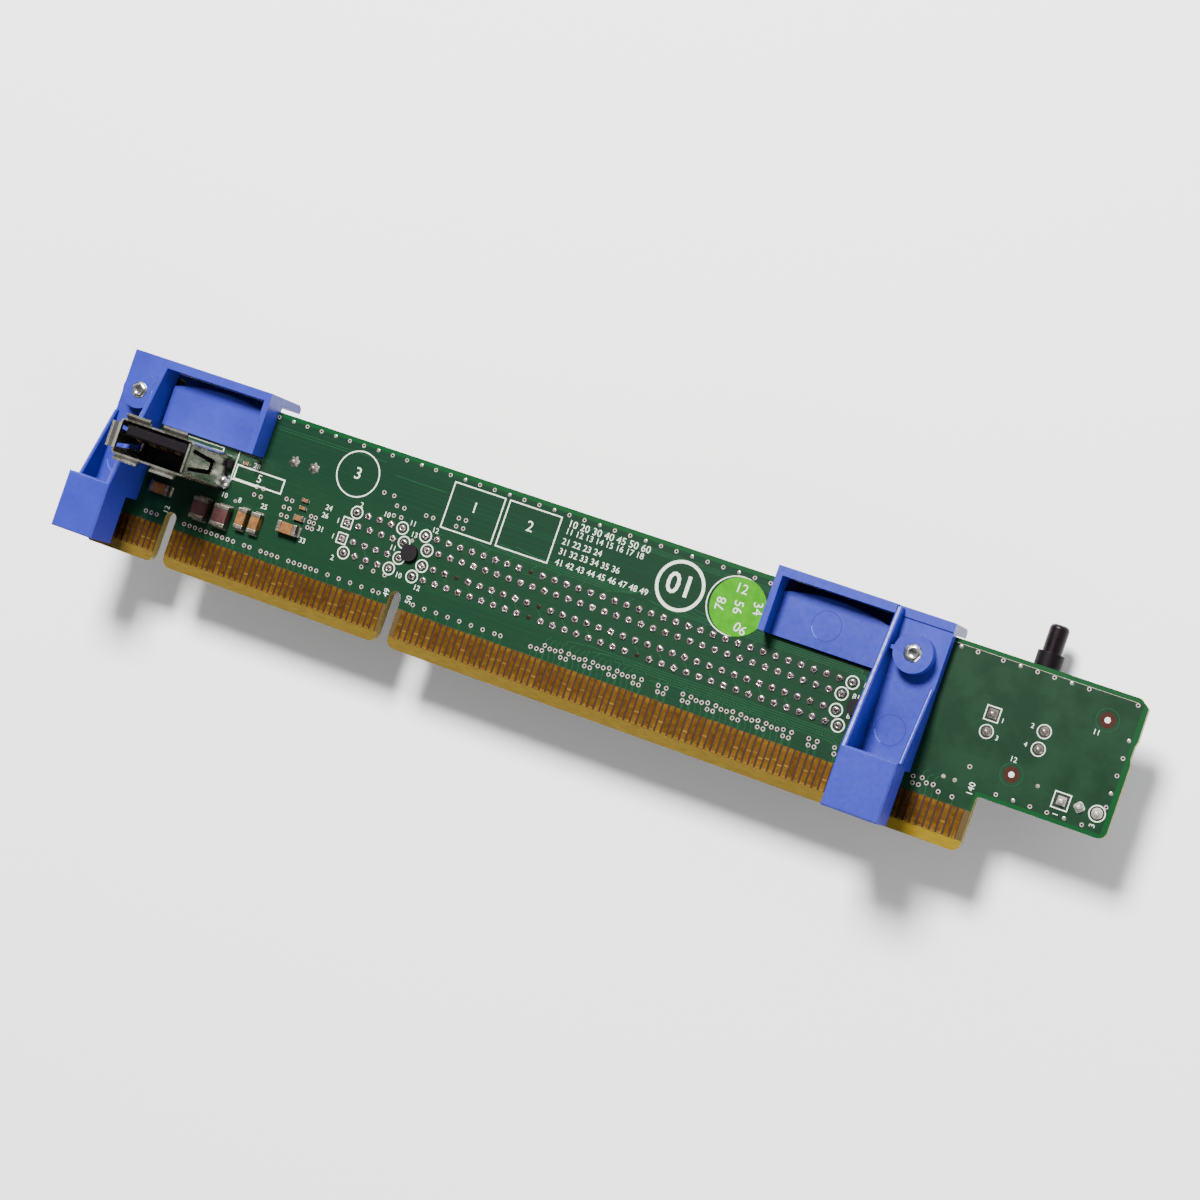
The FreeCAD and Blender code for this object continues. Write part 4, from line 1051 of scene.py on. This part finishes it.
def mould_marks():
    """Ejector marks: a thin raised ring on each floor in darker blue, painted shade standing in for a shallow
    recess, and a lighter strip along part of it, a painted highlight where the recess wall would face the
    light.
    """
    groove_shades = Shape()
    painted_highlights = Shape()
    r = 2.2
    arc = [math.radians(a) for a in range(195, 250, 6)]
    for x, y, z in ((90.9, -1.4, 2.3), (76.9, 9.7, 0.9), (-39.4, -1.0, 2.3)):
        # Painted shade: the darker ring stands in for the shallow recess
        groove_shades.ring(x, y, 2.14, 2.27, z - SUNK, z + 0.012, 56)
        # Painted highlight: the lighter strip where the recess wall would face the light
        painted_highlights.strip([(x + r * math.cos(a), y + r * math.sin(a)) for a in arc], 0.14, z - SUNK, z + INK)
    make("mould_marks", groove_shades, "groove_shade")
    make("mould_painted_highlights", painted_highlights, "painted_glint")


def label_print():
    """Plain numbers on the round label, turned several ways."""
    sticker_top = 0.1
    digits = Shape()
    for text, x, y, turn in (("12", 62.9, 10.9, -0.02), ("34", 66.1, 8.9, -1.35), ("56", 63.2, 8.2, -1.5),
                             ("78", 60.6, 7.9, 1.6), ("90", 64.6, 5.4, 2.9)):
        digits.number(text, x, y, 1.5, turn, sticker_top, sticker_top + INK)
    make("label_print", digits, "ink")


def finish_nodes():
    """Rounded copies of the nodes with sharp moulded or folded edges, and finishes on the others."""
    softened("left_bracket", "left_guide", 0.16, "blue")
    softened("right_bracket", "right_guide", 0.16, "blue")
    softened("slot_housing", "slot_shell", 0.1, "slot")
    softened("switch_body", "switch_case", 0.12, "black")
    softened("switch_plunger", "plunger_knob", 0.12, "plunger", "plunger")
    softened("usb_shell", "usb_shield", 0.06, "sheet")
    softened("usb_insulator", "usb_core", 0.05, "black")
    softened("header_base", "header_block", 0.08, "black")
    softened("bulk_capacitors", "bulk_chip_bodies", 0.1, "bulk")
    softened("bulk_capacitor_terminals", "bulk_chip_ends", 0.14, "ends")
    softened("ceramic_capacitors", "tan_chip_bodies", 0.08, "tan")
    softened("ceramic_capacitor_terminals", "tan_chip_ends", 0.12, "ends")
    softened("small_capacitors", "small_chip_bodies", 0.04, "tan")
    softened("small_capacitor_terminals", "small_chip_ends", 0.05, "ends")
    finishes = {
        "circuit_board": "board", "edge_contacts_front": "gold", "edge_contacts_back": "gold",
        "slot_contacts": "gold", "bracket_screws": "zinc", "usb_contacts": "gold",
        "label_sticker": "sticker", "switch_bridge": "gold",
        "switch_terminals": "pins", "header_pins": "pins", "reservoir_can": "can",
        "reservoir_seal": "rubber", "reservoir_leads": "pins",
    }
    for node, material in finishes.items():
        paint(node, material)


def return_spring():
    """The switch's spring as a piece of its own, with a mesh of its own, riding on the card."""
    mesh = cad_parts["switch_spring"].data.copy()
    mesh.materials.clear()
    mesh.materials.append(MATERIALS["spring"])
    made = added("return_spring", mesh)
    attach(made, "card")
    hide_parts("switch_spring")
    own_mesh(made)


# Studio and camera

def paper_floor():
    mesh = bpy.data.meshes.new("floor")
    corners = [(x * FLOOR_REACH, y * FLOOR_REACH, 0) for x, y in ((-1, -1), (1, -1), (1, 1), (-1, 1))]
    mesh.from_pydata(corners, [], [(0, 1, 2, 3)])
    floor = added("floor", mesh)
    floor.location = (0, 0, -FLOOR_DROP)
    g = Graph("floor_paper")
    g.set(color=(0.94, 0.94, 0.94, 1.0), rough=g.ramp(g.noise(0.02, 2.0), 0.3, 0.7, 0.85, 0.95))
    mesh.materials.append(g.material)


def sky():
    """Even light from round about, dimmer from straight above and from in front of the card edge."""
    world = bpy.data.worlds.new("studio")
    bpy.context.scene.world = world
    world.use_nodes = True
    tree = world.node_tree
    backdrop = tree.nodes["Background"]
    backdrop.inputs["Strength"].default_value = SKY_STRENGTH
    direction = tree.nodes.new("ShaderNodeTexCoord")
    shades = []
    for towards, low, high, to_low, to_high in SKY_SHADES:
        share = tree.nodes.new("ShaderNodeVectorMath")
        share.operation = "DOT_PRODUCT"
        share.inputs[1].default_value = towards
        shade = tree.nodes.new("ShaderNodeMapRange")
        set_range(shade, low, high, to_low, to_high)
        tree.links.new(direction.outputs["Generated"], share.inputs[0])
        tree.links.new(share.outputs["Value"], shade.inputs["Value"])
        shades.append(shade.outputs["Result"])
    product = tree.nodes.new("ShaderNodeMath")
    product.operation = "MULTIPLY"
    for socket, shade in zip(product.inputs, shades):
        tree.links.new(shade, socket)
    tree.links.new(product.outputs[0], backdrop.inputs["Color"])


def lamp(name, place, size, power, tint):
    """Square lamp that points at the card."""
    light = bpy.data.lights.new(name, "AREA")
    light.shape = "RECTANGLE"
    light.size = size
    light.size_y = size
    light.energy = power
    light.color = tint
    holder = added(name, light)
    holder.location = place
    holder.rotation_mode = "QUATERNION"
    holder.rotation_quaternion = (Vector(LAMP_TARGET) - Vector(place)).to_track_quat("-Z", "Y")


def camera():
    """Camera fitted to the positions of the slot's pins in the photograph."""
    right = Vector(CAMERA_RIGHT).normalized()
    forward = Vector(CAMERA_FORWARD).normalized()
    up = right.cross(forward).normalized()
    right = forward.cross(up)
    data = bpy.data.cameras.new("camera")
    data.sensor_width = SENSOR
    data.lens = LENS
    data.clip_start = 0.01
    data.clip_end = 10.0
    holder = added("camera", data)
    turn = Matrix((right, up, -forward)).transposed().to_4x4()
    holder.matrix_world = Matrix.Translation(at(*CAMERA_PLACE)) @ turn
    bpy.context.scene.camera = holder


finish_nodes()
return_spring()
slot_joints()
vias()
tracks()
print_on_board()
fiducials()
other_joints()
usb_joints()
chip_lands()
screw_ends()
mould_marks()
label_print()
paper_floor()
sky()
lamp("key", (-0.13, 0.42, 0.68), 0.2, 23.0, (1.0, 0.985, 0.965))
lamp("fill", (0.55, -0.4, 0.3), 0.4, 2.5, (0.96, 0.97, 1.0))
camera()
